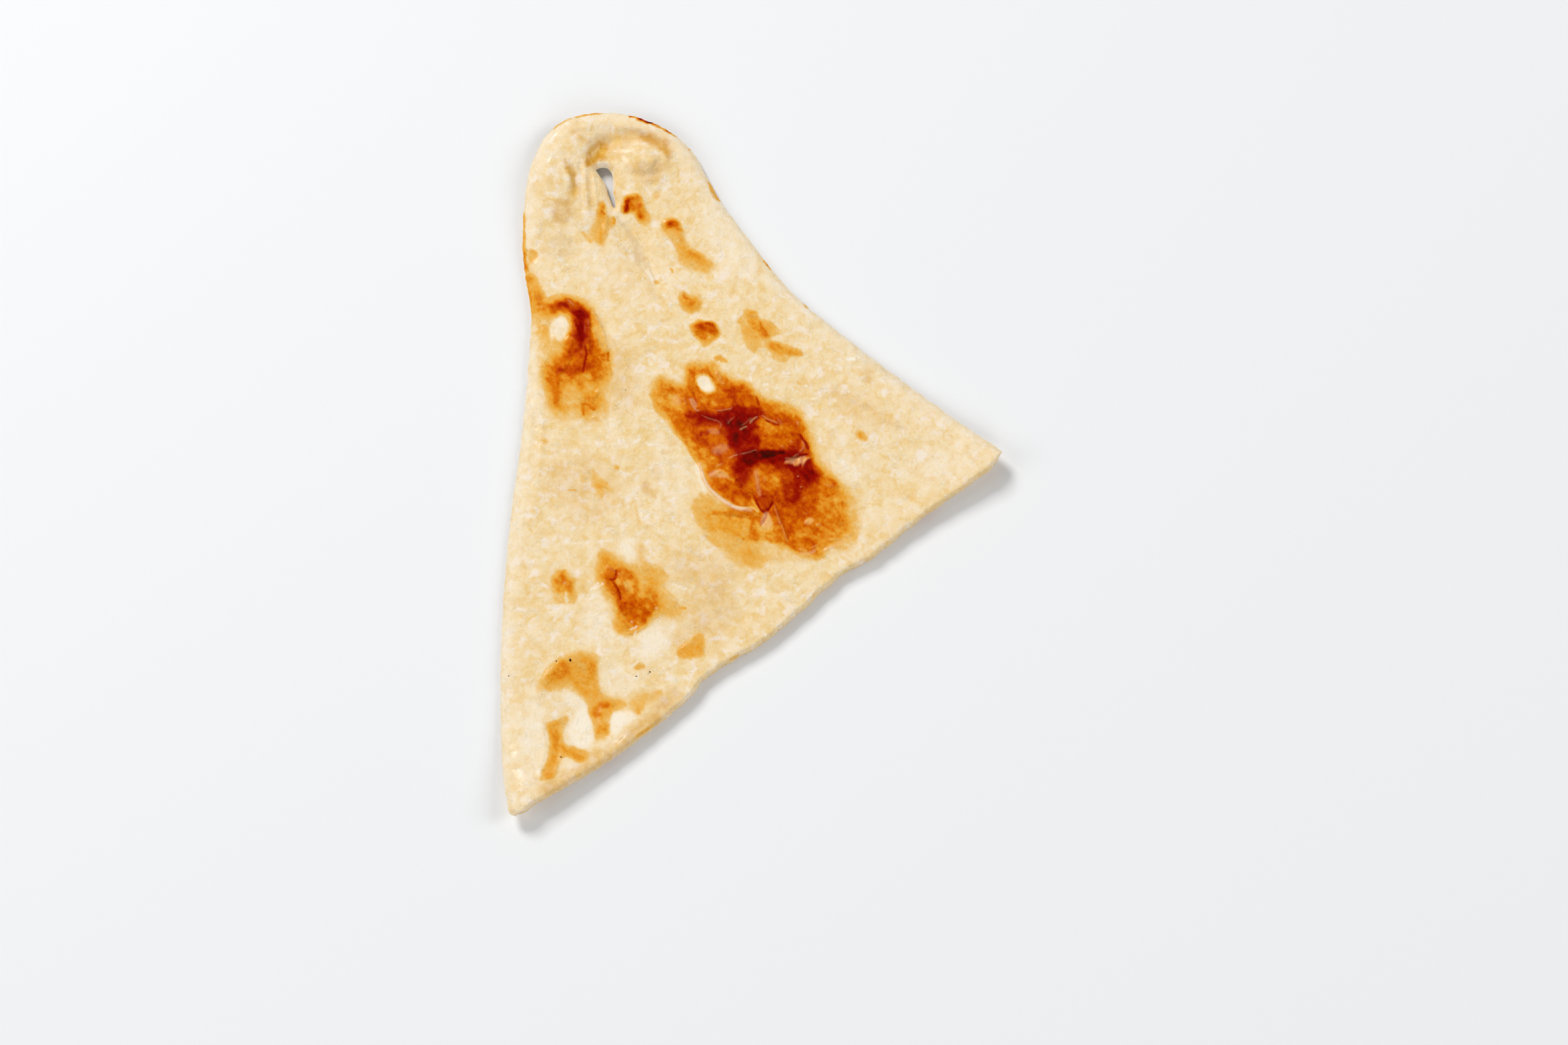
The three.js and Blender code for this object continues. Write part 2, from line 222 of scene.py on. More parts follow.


# how far the skin is baked: 0.2 tan, 0.4 golden, 0.6 orange, 0.75 deep orange, 0.9 red-brown, 1.05 near black
# the list also holds painted shadow under the overhanging fold of the middle blister, at 1.17
scorchesAndShade = {}
scorchesAndShade["middle blister"] = [
    spot(0.2, 2, (22, -2), (1.2, 5), 12, 0.7),
    area(0.2, 1.6, [(19.4, -3), (22.6, -6), (27, -10), (30, -13), (31.6, -18), (32, -24), (31, -29),
        (27, -33), (24, -30), (22, -20), (20, -10)]),
    area(0.2, 1.4, [(-9, -31), (-4, -30.5), (4, -31), (12, -33.5), (14, -35), (5, -35), (3, -37.5),
        (-3, -37.5), (-8, -35)]),
    area(0.34, 1, [(-7, -32), (-3, -31.5), (1, -31.5), (3, -33), (1, -35.5), (-3, -34.5)]),
    area(0.24, 1, [(-19, -18), (-15.6, -13), (-10, -17), (-4, -19), (2, -20.4), (4.6, -25.6), (3, -29.4),
        (-4, -30.6), (-11, -30.6), (-14.4, -28), (-17, -23)]),
    area(0.24, 1.1, [(-31, 22), (-29, 24), (-26, 22.6), (-23, 21.4), (-26, 10), (-29, 9), (-31, 12),
        (-32, 17)]),
    area(0.5, 0.7, [(-29.6, 22.6), (-28.4, 23), (-25.6, 21.4), (-23, 20.4), (-21, 21), (-21, 24), (-20.9, 27),
        (-19.4, 28.1), (-16, 27.9), (-13.2, 28), (-11.8, 27.4), (-10.8, 25.6), (-9.6, 24.8), (-8, 24.8),
        (-7.4, 22.6), (-4.6, 22.6), (-2.4, 21.4), (0, 19.4), (1.6, 17.4), (4.4, 16.2), (7.4, 15.4),
        (10.4, 14.4), (12.6, 12.9), (14.2, 11), (15.6, 8.4), (16.7, 5), (17.4, 1), (18.6, -2.4), (19.6, -5.4),
        (21.6, -7.4), (24.4, -9.3), (26.4, -12.4), (27.8, -16), (28.9, -20.6), (28.4, -24.4), (26.6, -27.6),
        (23.6, -30), (21.2, -31.4), (20.6, -34), (17, -34.2), (13, -32.6), (9, -30.8), (5.6, -29), (1, -28.6),
        (-1.8, -28.4), (-2, -23), (-7, -22.6), (-12, -22.8), (-13, -20.4), (-10.6, -19), (-8, -16.8),
        (-11, -14.4), (-13.4, -12.2), (-14.8, -9.8), (-15.7, -7), (-16.4, -4.4), (-18, -3), (-19.6, -1),
        (-21.4, 1.4), (-22.8, 4), (-24.6, 7), (-25.8, 9.6), (-26.6, 11.6), (-28, 12.6), (-29.4, 14.6),
        (-29.6, 17), (-31, 17.8), (-30, 19.2), (-29.2, 20.6)]),
    area(0.6, 0.8, [(-28.4, 21.8), (-26.6, 20.6), (-23.6, 19.4), (-20.6, 20), (-20.2, 24), (-20, 27.2),
        (-17.4, 26.4), (-14.6, 26.6), (-13.2, 27.6), (-11.8, 26.4), (-11, 23), (-9, 21.2), (-7.4, 21.8),
        (-4.4, 21), (-2, 19.8), (0.4, 17.8), (2, 15.4), (5, 13.8), (8.6, 13), (11.6, 11.4), (13.8, 9),
        (15.2, 5.6), (16.4, 1.6), (17.4, -1.6), (18.8, -5.4), (21, -7.8), (24, -9.8), (24.2, -11.2),
        (21.6, -12.4), (20, -14), (20.4, -18), (21, -22), (20.6, -25.4), (19.4, -28), (16.4, -30.4),
        (13.4, -31.6), (10.8, -30.4), (8.6, -28.4), (5.8, -26), (4.8, -21), (2, -22), (-1.6, -20.9),
        (-5, -20.4), (-9, -20), (-3.4, -18.4), (-8, -16.2), (-11.4, -13.8), (-13.6, -11), (-13, -9.4),
        (-14.4, -6.4), (-15.6, -4), (-14, -3), (-15, -1.4), (-17, -0.4), (-19, 1.4), (-20.4, 3), (-19.8, 5),
        (-22, 6), (-24.2, 8), (-25.2, 10.4), (-25.6, 12.6), (-23.4, 13), (-21.8, 15), (-22.6, 17.6),
        (-25, 18.4), (-28, 18)]),
    area(0.72, 0.9, [(-10.8, 20.4), (-8, 21), (-5.4, 20.8), (-3, 19.4), (-0.6, 17.6), (1, 15.4), (2.6, 13.2),
        (5.4, 12.8), (8.6, 12), (11, 10.2), (13.4, 7.8), (14.6, 4.6), (15.8, 1.2), (17, -2), (18.6, -5.6),
        (20.6, -8), (22.6, -9.8), (20.6, -11.4), (19.4, -14), (18.4, -18), (18, -21), (16, -21.6),
        (13.4, -21.4), (12, -25), (11.4, -29.2), (9.6, -28.4), (8, -24.6), (6, -20), (5, -17.6), (4, -20),
        (2.4, -21.8), (1.6, -19), (-0.4, -15.4), (-3, -15.8), (-6.6, -13.8), (-9.6, -12), (-8.6, -10.4),
        (-6, -9.4), (-8, -6.4), (-10.6, -4), (-12.6, -1.6), (-14, 1), (-17, 2.6), (-19, 4.6), (-18.6, 6.6),
        (-21, 8), (-23.6, 9.6), (-24.2, 12), (-21.4, 12.6), (-19.6, 14), (-18.8, 16), (-18.6, 19),
        (-17.6, 18.4), (-17, 16), (-16.6, 13.8), (-13, 13.6), (-10, 14.4), (-9.6, 17)]),
    area(0.88, 0.9, [(-20.4, 11.4), (-18, 12.2), (-16, 12.8), (-13, 12.6), (-10.6, 12.4), (-8, 13.4),
        (-6.4, 14.4), (-3, 14.3), (0, 13.8), (2.2, 12.6), (3.4, 11.4), (2, 10.8), (1, 9.6), (0.6, 8),
        (2.2, 7.6), (2, 6.6), (0, 7), (-0.6, 6), (1.6, 5.4), (2.2, 3), (2.2, 1.4), (4.4, 0.9), (9, 0.4),
        (10.4, 2), (12.6, 2.6), (13.6, 4.4), (15, 3.8), (16.3, 1), (17, -1.6), (18.4, -5), (20, -8),
        (19.4, -10), (18, -11), (16.4, -12), (14.6, -13), (13.8, -16), (12, -18), (9.6, -17), (9.2, -14.6),
        (9.8, -12), (9.2, -10), (8.6, -7.6), (6.6, -5.6), (3.6, -4.4), (1, -4.8), (-0.6, -6.6), (-2, -9),
        (-2.6, -12), (-4, -11), (-5.6, -8.8), (-6.6, -7.6), (-7, -5.6), (-6.2, -4), (-4.4, -2.6),
        (-6.4, -1.8), (-7, 0), (-8, 2), (-9, 4), (-10, 5.4), (-10.4, 7.6), (-12.6, 8), (-15, 8), (-17.6, 7.6),
        (-18.8, 9.4)]),
    area(1.0, 0.8, [(-17.2, 11.8), (-14.6, 12), (-12, 11.6), (-9, 12.4), (-7, 12.8), (-5.6, 13.8),
        (-2.6, 13.8), (-1, 12.4), (0.6, 11.6), (1.6, 12.2), (2.8, 11.6), (1.4, 10.6), (-0.6, 10.2), (-1.2, 8),
        (0.4, 7.4), (-1, 5.6), (0.6, 4.6), (1.8, 3.2), (1.6, 1.8), (-0.6, 0.6), (2, 0.1), (8, 0.1),
        (10.6, -0.6), (12, 1), (13, 0.2), (15, -1.2), (16.8, -2.6), (17.8, -5.4), (19, -8), (18, -9.6),
        (15.6, -10), (14.4, -8.8), (13.4, -11.4), (12.6, -13), (11, -12), (11, -9), (10.2, -6.4), (8.8, -5),
        (6, -4), (3, -3.8), (0, -4.4), (-2, -5.4), (-4.4, -7), (-6, -6.6), (-6.6, -4.6), (-4.6, -2.8),
        (-6, -1.4), (-6.6, 0.6), (-7.8, 3), (-8, 5.6), (-9.4, 7.6), (-10.4, 8.8), (-13, 9.6), (-15.4, 9),
        (-17, 9.6)]),
    area(1.08, 0.8, [(-7.6, 8.6), (-5.8, 10.6), (-3.6, 11.8), (-2.8, 9.8), (-4.2, 8), (-5.2, 6.6),
        (-7, 6.6)]),
    area(1.06, 0.8, [(-3.4, -1.4), (1.6, -1), (1.2, -3.2), (-1.6, -4.6), (-3.8, -3.4)]),
    area(1.06, 0.8, [(-6.4, 4.4), (-5, 5), (-3.6, 2.4), (-4, 0.6), (-5.6, 1.4)]),
    # painted shadow under the overhanging fold, darker than any scorch
    area(1.17, 0.5, [(2.2, -0.1), (5, 0.1), (8, -0.2), (9.6, -0.7), (7.6, -1.4), (5.4, -2.1), (3, -2.9),
        (1.6, -3), (2, -1.6)]),
    spot(0.88, 0.9, (-14.8, 5.6), (1.7, 1.1), 20),
    area(0.86, 0.7, [(2.4, -14.2), (5, -14.2), (6.2, -15.6), (5.2, -17.4), (4, -19.4), (3, -18.6),
        (1.8, -16.2)]),
    area(0.68, 0.9, [(-0.6, -5.8), (1, -4.7), (4, -4.9), (6.2, -6), (8, -8), (9, -10.4), (8.2, -13.2),
        (6, -13.6), (4, -13.2), (1.8, -13.8), (0, -10.6)]),
    area(0.59, 0.9, [(1.4, -6.4), (4.4, -6.2), (7, -8.6), (7.4, -11.6), (5.4, -13), (2.6, -12.6), (1, -9.6)]),
    area(0.6, 0.7, [(1.2, 9.8), (3, 9.8), (5, 8.8), (8, 8.1), (8.6, 7), (7.2, 5.8), (5, 5.2), (2.8, 5.4),
        (1.6, 7)]),
    spot(0.66, 0.9, (10.8, 7), (2, 1.1), -25),
    spot(0.64, 0.9, (8.4, 3.2), (1.6, 0.6), -14),
    spot(0.62, 0.7, (4, 4.6), (1.1, 0.3), 14),
    spot(0.6, 0.8, (-13.2, 15.6), (3.4, 0.7), -8),
    area(0.34, 0.6, [(-25.8, 17.6), (-24.6, 17.5), (-23, 16), (-22.2, 14.4), (-22.3, 13.3), (-23.6, 13.9),
        (-25.2, 14.4), (-25.7, 15.8)]),
    area(0.4, 0.6, [(-16.4, 16.4), (-15, 16.6), (-14, 16), (-14.4, 15.2), (-15.6, 15)]),
    spot(0.46, 0.7, (-12.8, 15.6), (0.9, 0.4), -10),
    area(0.7, 0.9, [(-12.8, 0.2), (-11.6, 1.4), (-9.6, 1.8), (-8.6, 0.4), (-7.6, -0.4), (-8, -2),
        (-9.4, -2.2), (-10.6, -1.2)]),
    spot(0.56, 0.7, (-15.2, -0.6), (0.5, 0.8), -20),
    spot(0.4, 0.6, (-12.6, -2.4), (0.7, 0.4), 25),
    spot(0.42, 0.8, (-8.2, -5.4), (0.5, 0.8), 10),
    area(0.44, 0.7, [(-13.8, -8.8), (-12.4, -7.6), (-9.8, -6.4), (-7.6, -8), (-6.8, -9.4), (-9.2, -7.8),
        (-11.4, -8.6), (-12.8, -9.8)]),
    area(0.42, 0.8, [(-19.4, 0.4), (-18, -0.8), (-16, -2.6), (-16.6, -4), (-19, -2.4)]),
    spot(0.7, 0.8, (-10, 3.2), (1, 0.8)),
    area(0.86, 1, [(8, -5.6), (10, -5.2), (12, -8), (12, -13), (9.4, -15.4), (8.4, -12), (8, -8)]),
    spot(0.56, 1.3, (9, -28), (2.6, 1.6)),
    area(0.66, 0.8, [(14.2, 3.2), (15.2, 2.4), (15.2, 0.4), (14, 0)]),
    area(0.44, 0.5, [(13.9, -2.2), (13.6, -4.2), (12.6, -4.9), (11.8, -4.5), (12.4, -3.2)]),
    area(0.44, 0.5, [(15.4, -2.1), (17.1, -2.3), (16.2, -2.9), (15, -4), (14.3, -5.4), (14.7, -3.2)]),
    spot(0.6, 0.6, (10.2, -4), (1.3, 0.35), 8),
    area(0.38, 0.7, [(-14, -19.6), (-9, -20.8), (-2.2, -22), (-1.6, -28.2), (-6, -27), (-9, -26),
        (-13.4, -24.6)]),
    line(0.56, (0.5, 0.8), 0.9, [(-12, -19.9), (-7, -19.8), (-2, -20.2), (2, -21.2)]),
    line(0.57, 0.4, 0.8, [(-0.4, -22), (-0.9, -25), (-1.3, -28)]),
    area(0.48, 0.7, [(-0.8, -24.8), (1.6, -25.2), (4, -26.2), (6.6, -26.6), (7.4, -28.6), (3, -28.2),
        (-0.4, -28.4)]),
    spot(0.3, 0.7, (1, -23.4), (0.7, 0.9), 15),
    area(0.2, 0.5, [(4.2, -20.1), (3.3, -22.2), (2.5, -23.9), (1.5, -24.7), (3, -25.5), (4.6, -25.5),
        (5.4, -24.8), (5.3, -23), (4.8, -21)]),
    area(0.62, 0.9, [(19, -19), (20.8, -18.4), (21.4, -23.6), (19.8, -24)]),
    area(0.64, 0.8, [(19.6, -8.6), (21.6, -8.2), (24.6, -10), (23.4, -11.2), (20.6, -10.8)]),
    spot(0.42, 1, (16.4, -22.4), (1.2, 1), 30),
    spot(0.48, 1, (14.6, -26.4), (1, 0.8)),
    spot(0.42, 1, (18.6, -27.2), (1.4, 0.5), 25),
    spot(0.38, 1, (25, -15.4), (1.4, 0.9), 10),
    spot(0.4, 1, (23.2, -18.4), (1.2, 0.8), 20),
    area(0.13, 0.5, [(1.4, -29.2), (4, -28.9), (8, -30.4), (12, -32.6), (13, -34), (9, -33.4), (5, -33),
        (1.4, -31.6)]),
    line(0.1, (0.1, 0.3), 0.5, [(-16.3, -3.8), (-15.8, -5.5), (-15, -8), (-14.2, -10.4), (-13.2, -12),
        (-11.5, -13.4), (-9.4, -15)]),
    line(0.12, (0.34, 0.22), 0.6, [(-9.8, -14.7), (-7.5, -16.3), (-6, -17.5), (-4, -18.4), (-2, -18.1),
        (-0.2, -18.3), (1.2, -19.4), (2, -19.6)]),
    line(0.3, 0.2, 0.6, [(-1, -14.9), (0.1, -17), (1.3, -18.5), (1.9, -19.4)]),
    area(0, 0.6, [(-17.9, 23.2), (-17.2, 24.2), (-14.6, 24.3), (-12.8, 22.8), (-11.9, 20.4), (-12, 18.9),
        (-14, 18), (-15.6, 18.8), (-17, 20.6)]),
]
scorchesAndShade["long side blister"] = [
    area(0.17, 1.2, [(-71, 64.8), (-68.6, 65.6), (-67, 64), (-67.8, 61), (-68.6, 58), (-66.4, 56.6),
        (-65.4, 53), (-64.2, 49.6), (-62.4, 49), (-60, 50.6), (-57, 50.6), (-53, 48.6), (-50.6, 47.6),
        (-48.6, 44), (-46, 40.6), (-44.4, 36), (-43.4, 32.6), (-42.4, 27), (-42.8, 22), (-43.4, 14),
        (-44.4, 9.6), (-48, 8), (-52, 9), (-56, 9), (-60, 9.4), (-62, 12), (-63.8, 17), (-65, 23), (-66, 29),
        (-66.6, 36), (-67, 42), (-68.6, 46), (-69, 52), (-70.6, 55)]),
    area(0.4, 0.8, [(-70.4, 56.4), (-69, 56.8), (-67, 56.2), (-66.2, 53.6), (-65.6, 51), (-64.4, 49),
        (-62.6, 48.5), (-60.4, 49.4), (-58, 50), (-55.4, 49), (-52.8, 47.6), (-51, 46.4), (-49.4, 44.6),
        (-47.8, 41.4), (-49, 38.8), (-48.4, 36.6), (-47.4, 34.4), (-46.4, 32.2), (-45.2, 31), (-44.5, 31.6),
        (-43.8, 30), (-43.5, 27), (-44, 24.4), (-45, 22.4), (-46.4, 20.6), (-46.6, 17.6), (-46, 15),
        (-46.6, 12.8), (-49.4, 12.6), (-50.8, 10.8), (-51.8, 10.4), (-52.6, 13), (-55, 13.6), (-57.6, 12.6),
        (-60, 12.8), (-61.4, 14.6), (-62.4, 18), (-63.6, 22), (-64.4, 25.4), (-64, 28), (-61.6, 29),
        (-60.2, 32), (-58.2, 34.8), (-57.4, 38), (-56.6, 41), (-57.4, 43.8), (-60, 44.2), (-63, 43.4),
        (-66, 43.9), (-67.6, 45), (-68.2, 48), (-68.8, 52)]),
    area(0.53, 0.7, [(-66.8, 51.2), (-65.2, 50), (-64, 48.4), (-62.6, 48), (-60.6, 48.9), (-58.4, 49.7),
        (-56, 49), (-53.6, 47.6), (-51.4, 46), (-49.8, 44.2), (-49.4, 41.4), (-49.8, 38.6), (-48.8, 36.8),
        (-47.8, 34.6), (-46.8, 32), (-45.8, 29.6), (-45.2, 26.4), (-46, 23.8), (-47.6, 23), (-49, 22),
        (-50.8, 22.4), (-52, 20), (-53.6, 20.6), (-55.6, 21.6), (-57.4, 21.8), (-58.4, 18), (-58.6, 14.8),
        (-60, 14), (-61, 16.6), (-61.6, 20), (-63, 22.6), (-63.2, 25.6), (-61.6, 27.4), (-60.2, 29),
        (-59.2, 32), (-57.8, 34.4), (-56.8, 37.6), (-56, 41), (-56.6, 44), (-60, 44.6), (-63, 44.1),
        (-65.2, 44.8), (-66.4, 47)]),
    area(0.7, 0.7, [(-63.4, 46.6), (-61.6, 47.8), (-59, 48.4), (-57.6, 49), (-55.4, 48.2), (-52.8, 46.8),
        (-50.6, 45.2), (-49.8, 42), (-50, 39), (-49, 36.4), (-48.2, 34.4), (-47.4, 32), (-47.2, 29.6),
        (-47.6, 26.6), (-49, 24.6), (-51, 25.2), (-53.6, 24.4), (-55.4, 22.6), (-56.6, 23.4), (-57.4, 25.4),
        (-59, 23), (-59.2, 19), (-59.8, 17), (-60.6, 18.6), (-61, 21.6), (-60.6, 24), (-59.6, 26.2),
        (-59, 29), (-57.6, 31.6), (-56.8, 34.6), (-55.6, 37.6), (-55, 41), (-55.6, 44.4), (-59, 45),
        (-62, 45)]),
    area(0.89, 0.7, [(-62.2, 46.6), (-60.6, 47.5), (-58.2, 48.3), (-57.2, 47.7), (-56.4, 46.4), (-54.4, 46.2),
        (-52.6, 46.2), (-50.8, 45), (-50.2, 42.6), (-50.2, 39.4), (-49.9, 38), (-50.6, 36.6), (-51.6, 35),
        (-52, 32.4), (-52.4, 30), (-53.2, 32), (-53.8, 34), (-55, 36.6), (-54.6, 39.6), (-54.8, 42.4),
        (-55.8, 44.6), (-56.4, 45.6), (-58.4, 45.9), (-61, 45.7)]),
    area(1.05, 0.6, [(-54.6, 44.8), (-53.4, 45.7), (-52.2, 45.5), (-51.6, 44), (-52.2, 41), (-51.8, 38),
        (-51.5, 36.6), (-52.6, 35), (-53.8, 36.6), (-54, 39.6), (-53.8, 42)]),
    spot(1.0, 0.7, (-58.2, 47.3), (1.4, 0.6), -25),
    area(0.76, 0.5, [(-57.4, 49.2), (-55.4, 48.5), (-53.2, 47.2), (-52.2, 46.5), (-54.6, 46.7),
        (-56.4, 47.6)]),
    spot(0.84, 0.8, (-56, 30.6), (0.6, 1.4), -20),
    spot(0.8, 0.8, (-50.6, 27), (1.4, 0.5), 20),
    spot(0.46, 0.8, (-50.4, 23.8), (0.9, 1.1)),
    spot(0.42, 0.7, (-45.6, 27.8), (0.9, 1)),
    area(0.7, 0.4, [(-45.1, 31), (-44.6, 31.7), (-44, 30.2), (-44.1, 28.8), (-44.9, 29.4)]),
    spot(0.66, 0.7, (-46.6, 30.8), (1.3, 0.4), -14),
    line(0.5, 0.25, 0.6, [(-44, 28.4), (-43.8, 25.6)]),
    line(0.6, (0.7, 0.5), 0.8, [(-60.6, 23), (-60.2, 19), (-59.8, 15.4)]),
    area(0.24, 0.8, [(-57.2, 21), (-55.4, 20.8), (-53.4, 19.8), (-52.6, 17.4), (-53, 15), (-55, 14.6),
        (-57.6, 15.4), (-58, 18)]),
    spot(0.1, 1, (-55.6, 18.6), (1.0, 1.7), 8),
    spot(0.14, 0.9, (-49.9, 20.3), (1.2, 0.7), -15),
    line(0.62, 0.4, 0.8, [(-51.8, 15.2), (-50.4, 14.7), (-49, 13.4), (-47.6, 13.1)]),
    line(0.6, 0.4, 0.8, [(-51.8, 15.4), (-51.7, 12.6), (-51.5, 10.9)]),
    area(0.0, 0.5, [(-61.7, 42.6), (-59.6, 43.9), (-57.3, 43.8), (-56.2, 42.4), (-56.1, 40), (-56.9, 38),
        (-57.8, 36), (-58.6, 34.9), (-60.4, 36), (-61.7, 37.6), (-62.3, 39.6), (-62.2, 41.6)]),
    area(0.28, 0.9, [(-66.4, 37.8), (-65.6, 39.6), (-63.4, 40.6), (-62.8, 38), (-64.4, 37.4)]),
    spot(0.1, 1, (-61.6, 36.4), (0.8, 1)),
    spot(0.16, 1.2, (-61.4, 32), (1.6, 1.4)),
    line(0.36, (0.25, 0.5), 0.6, [(-50.2, 44.8), (-48.8, 42.4), (-47.3, 40)]),
    spot(0.3, 1, (-68.2, 63.4), (1.3, 2)),
    line(0.48, 0.6, 0.9, [(-69.7, 56), (-68.6, 55.6)]),
]
scorchesAndShade["spots by the hook slot"] = [
    area(0.26, 0.9, [(-48.8, 80), (-47.6, 81.6), (-46.6, 81.8), (-46, 80.6), (-46.1, 78.4), (-45.8, 76.6),
        (-44, 75.9), (-43.2, 76.2), (-42.8, 74.6), (-43.6, 72.8), (-44.4, 71.6), (-44.8, 70), (-45.8, 68.4),
        (-46.6, 66.2), (-47.5, 65.7), (-48.2, 67.6), (-50, 68.6), (-51.4, 69.8), (-51, 72), (-50, 74),
        (-49.2, 76.6)]),
    area(0.44, 0.6, [(-48.4, 78.6), (-47.6, 80.8), (-46.7, 81.2), (-46.4, 78.6), (-46, 76.8), (-46.6, 76),
        (-48, 76.8)]),
    line(0.4, (0.5, 0.2), 0.8, [(-47.5, 73), (-47.4, 69.4), (-47.3, 66.8)]),
    line(0.66, 0.26, 0.5, [(-47.7, 78.4), (-47, 78), (-46.6, 77.4), (-46, 76.7)]),
    line(0.62, 0.2, 0.5, [(-46.8, 80.4), (-46.8, 78.6)]),
    line(0.46, 0.3, 0.6, [(-43.4, 75.8), (-43.3, 74.8), (-43.8, 73.6)]),
    spot(0.66, 0.4, (-43.5, 75.9), (0.25, 0.25)),
    spot(0.3, 0.8, (-43.5, 84), (0.5, 1)),
    line(0.22, 0.6, 1.2, [(-53, 71), (-50.5, 68)]),
    area(0.22, 0.9, [(-41.4, 78), (-41.2, 81.4), (-40, 83.6), (-37.6, 84.2), (-35.6, 83.6), (-34.2, 81.4),
        (-33.4, 79), (-32.2, 76.6), (-32.2, 74.4), (-33.4, 73.2), (-35.4, 73.4), (-36.4, 75), (-37.4, 76.8),
        (-39, 77), (-40.4, 77)]),
    area(0.5, 0.6, [(-40.6, 78), (-40.5, 81.6), (-39.4, 83.2), (-37, 83.7), (-35.4, 83), (-34.6, 81),
        (-34.3, 79), (-33.9, 76.8), (-34.6, 75.3), (-35.6, 75.4), (-36.9, 76.6), (-36.2, 78.2), (-37.4, 77.9),
        (-38.4, 77.6)]),
    area(0.64, 0.6, [(-40, 79), (-40, 81.8), (-38.6, 83), (-36, 83), (-35.2, 81.4), (-35.4, 79.6),
        (-37.2, 81), (-38.4, 80)]),
    area(0.88, 0.45, [(-40.3, 77.8), (-40.3, 81), (-39.4, 82.1), (-38.2, 82.1), (-38.7, 80.6), (-38.8, 78),
        (-39.4, 77.6)]),
    spot(0.58, 1, (-36.9, 80.4), (1.9, 2.3)),
    line(1.0, 0.25, 0.5, [(-39.6, 81.2), (-39.3, 79.4), (-39.9, 78)]),
    spot(0.62, 0.5, (-35.4, 76.4), (0.8, 0.5)),
    spot(0.12, 2, (-30.4, 83.6), (1.8, 2)),
]
scorchesAndShade["comma"] = [
    line(0.24, (1.9, 2.4), 1.6, [(-25.8, 72.6), (-23.8, 68.8), (-21.4, 65), (-17.6, 62), (-14.6, 59.6)]),
    line(0.38, (1.5, 1.1), 1.4, [(-25.6, 73.4), (-24, 70.4), (-22.6, 67.2), (-20.4, 64.8), (-17.4, 63)]),
    area(0.2, 0.9, [(-29, 72), (-28.6, 74.4), (-27, 76), (-25, 76), (-23.4, 74.8), (-22.4, 72), (-21.8, 69.4),
        (-20.8, 66.6), (-18.4, 65.6), (-16, 64), (-14.2, 62), (-13, 59.4), (-13, 57.6), (-15, 56.8),
        (-18, 57.6), (-21, 58.6), (-23.6, 61), (-24.2, 64), (-24.6, 67), (-26.4, 68.8), (-28, 70.6)]),
    area(0.37, 0.8, [(-28.2, 72.4), (-27.6, 74.6), (-26, 75.6), (-24.2, 74.8), (-22.8, 72.4), (-22.2, 69.6),
        (-21.2, 67), (-19.4, 65.3), (-16.8, 64), (-14.8, 62), (-13.7, 59.6), (-15.6, 60.8), (-18.6, 61.8),
        (-21.8, 63), (-23.4, 66), (-23.8, 69), (-24.4, 71.4), (-25.8, 72.2), (-26.6, 70.8), (-27.4, 71)]),
    area(0.58, 0.6, [(-28, 73), (-27, 75), (-25.4, 75.5), (-23.8, 74.5), (-22.8, 72.4), (-22.6, 70.6),
        (-23.8, 71.6), (-25, 72.4), (-26.6, 71.8)]),
    area(0.78, 0.5, [(-27.4, 73.2), (-26.4, 74.9), (-24.6, 74.7), (-23.5, 73.2), (-25, 73), (-26.6, 72.8)]),
    spot(0.87, 0.5, (-25.8, 73.9), (0.9, 0.45)),
    line(0.47, 0.5, 0.9, [(-20.8, 65.2), (-18.6, 63.8), (-16.4, 62.6)]),
    line(0.37, 0.25, 0.5, [(-26, 59.1), (-25.2, 58.5), (-25.4, 57.4)]),
    spot(0.24, 1, (-30, 54.6), (1.1, 0.7)),
]
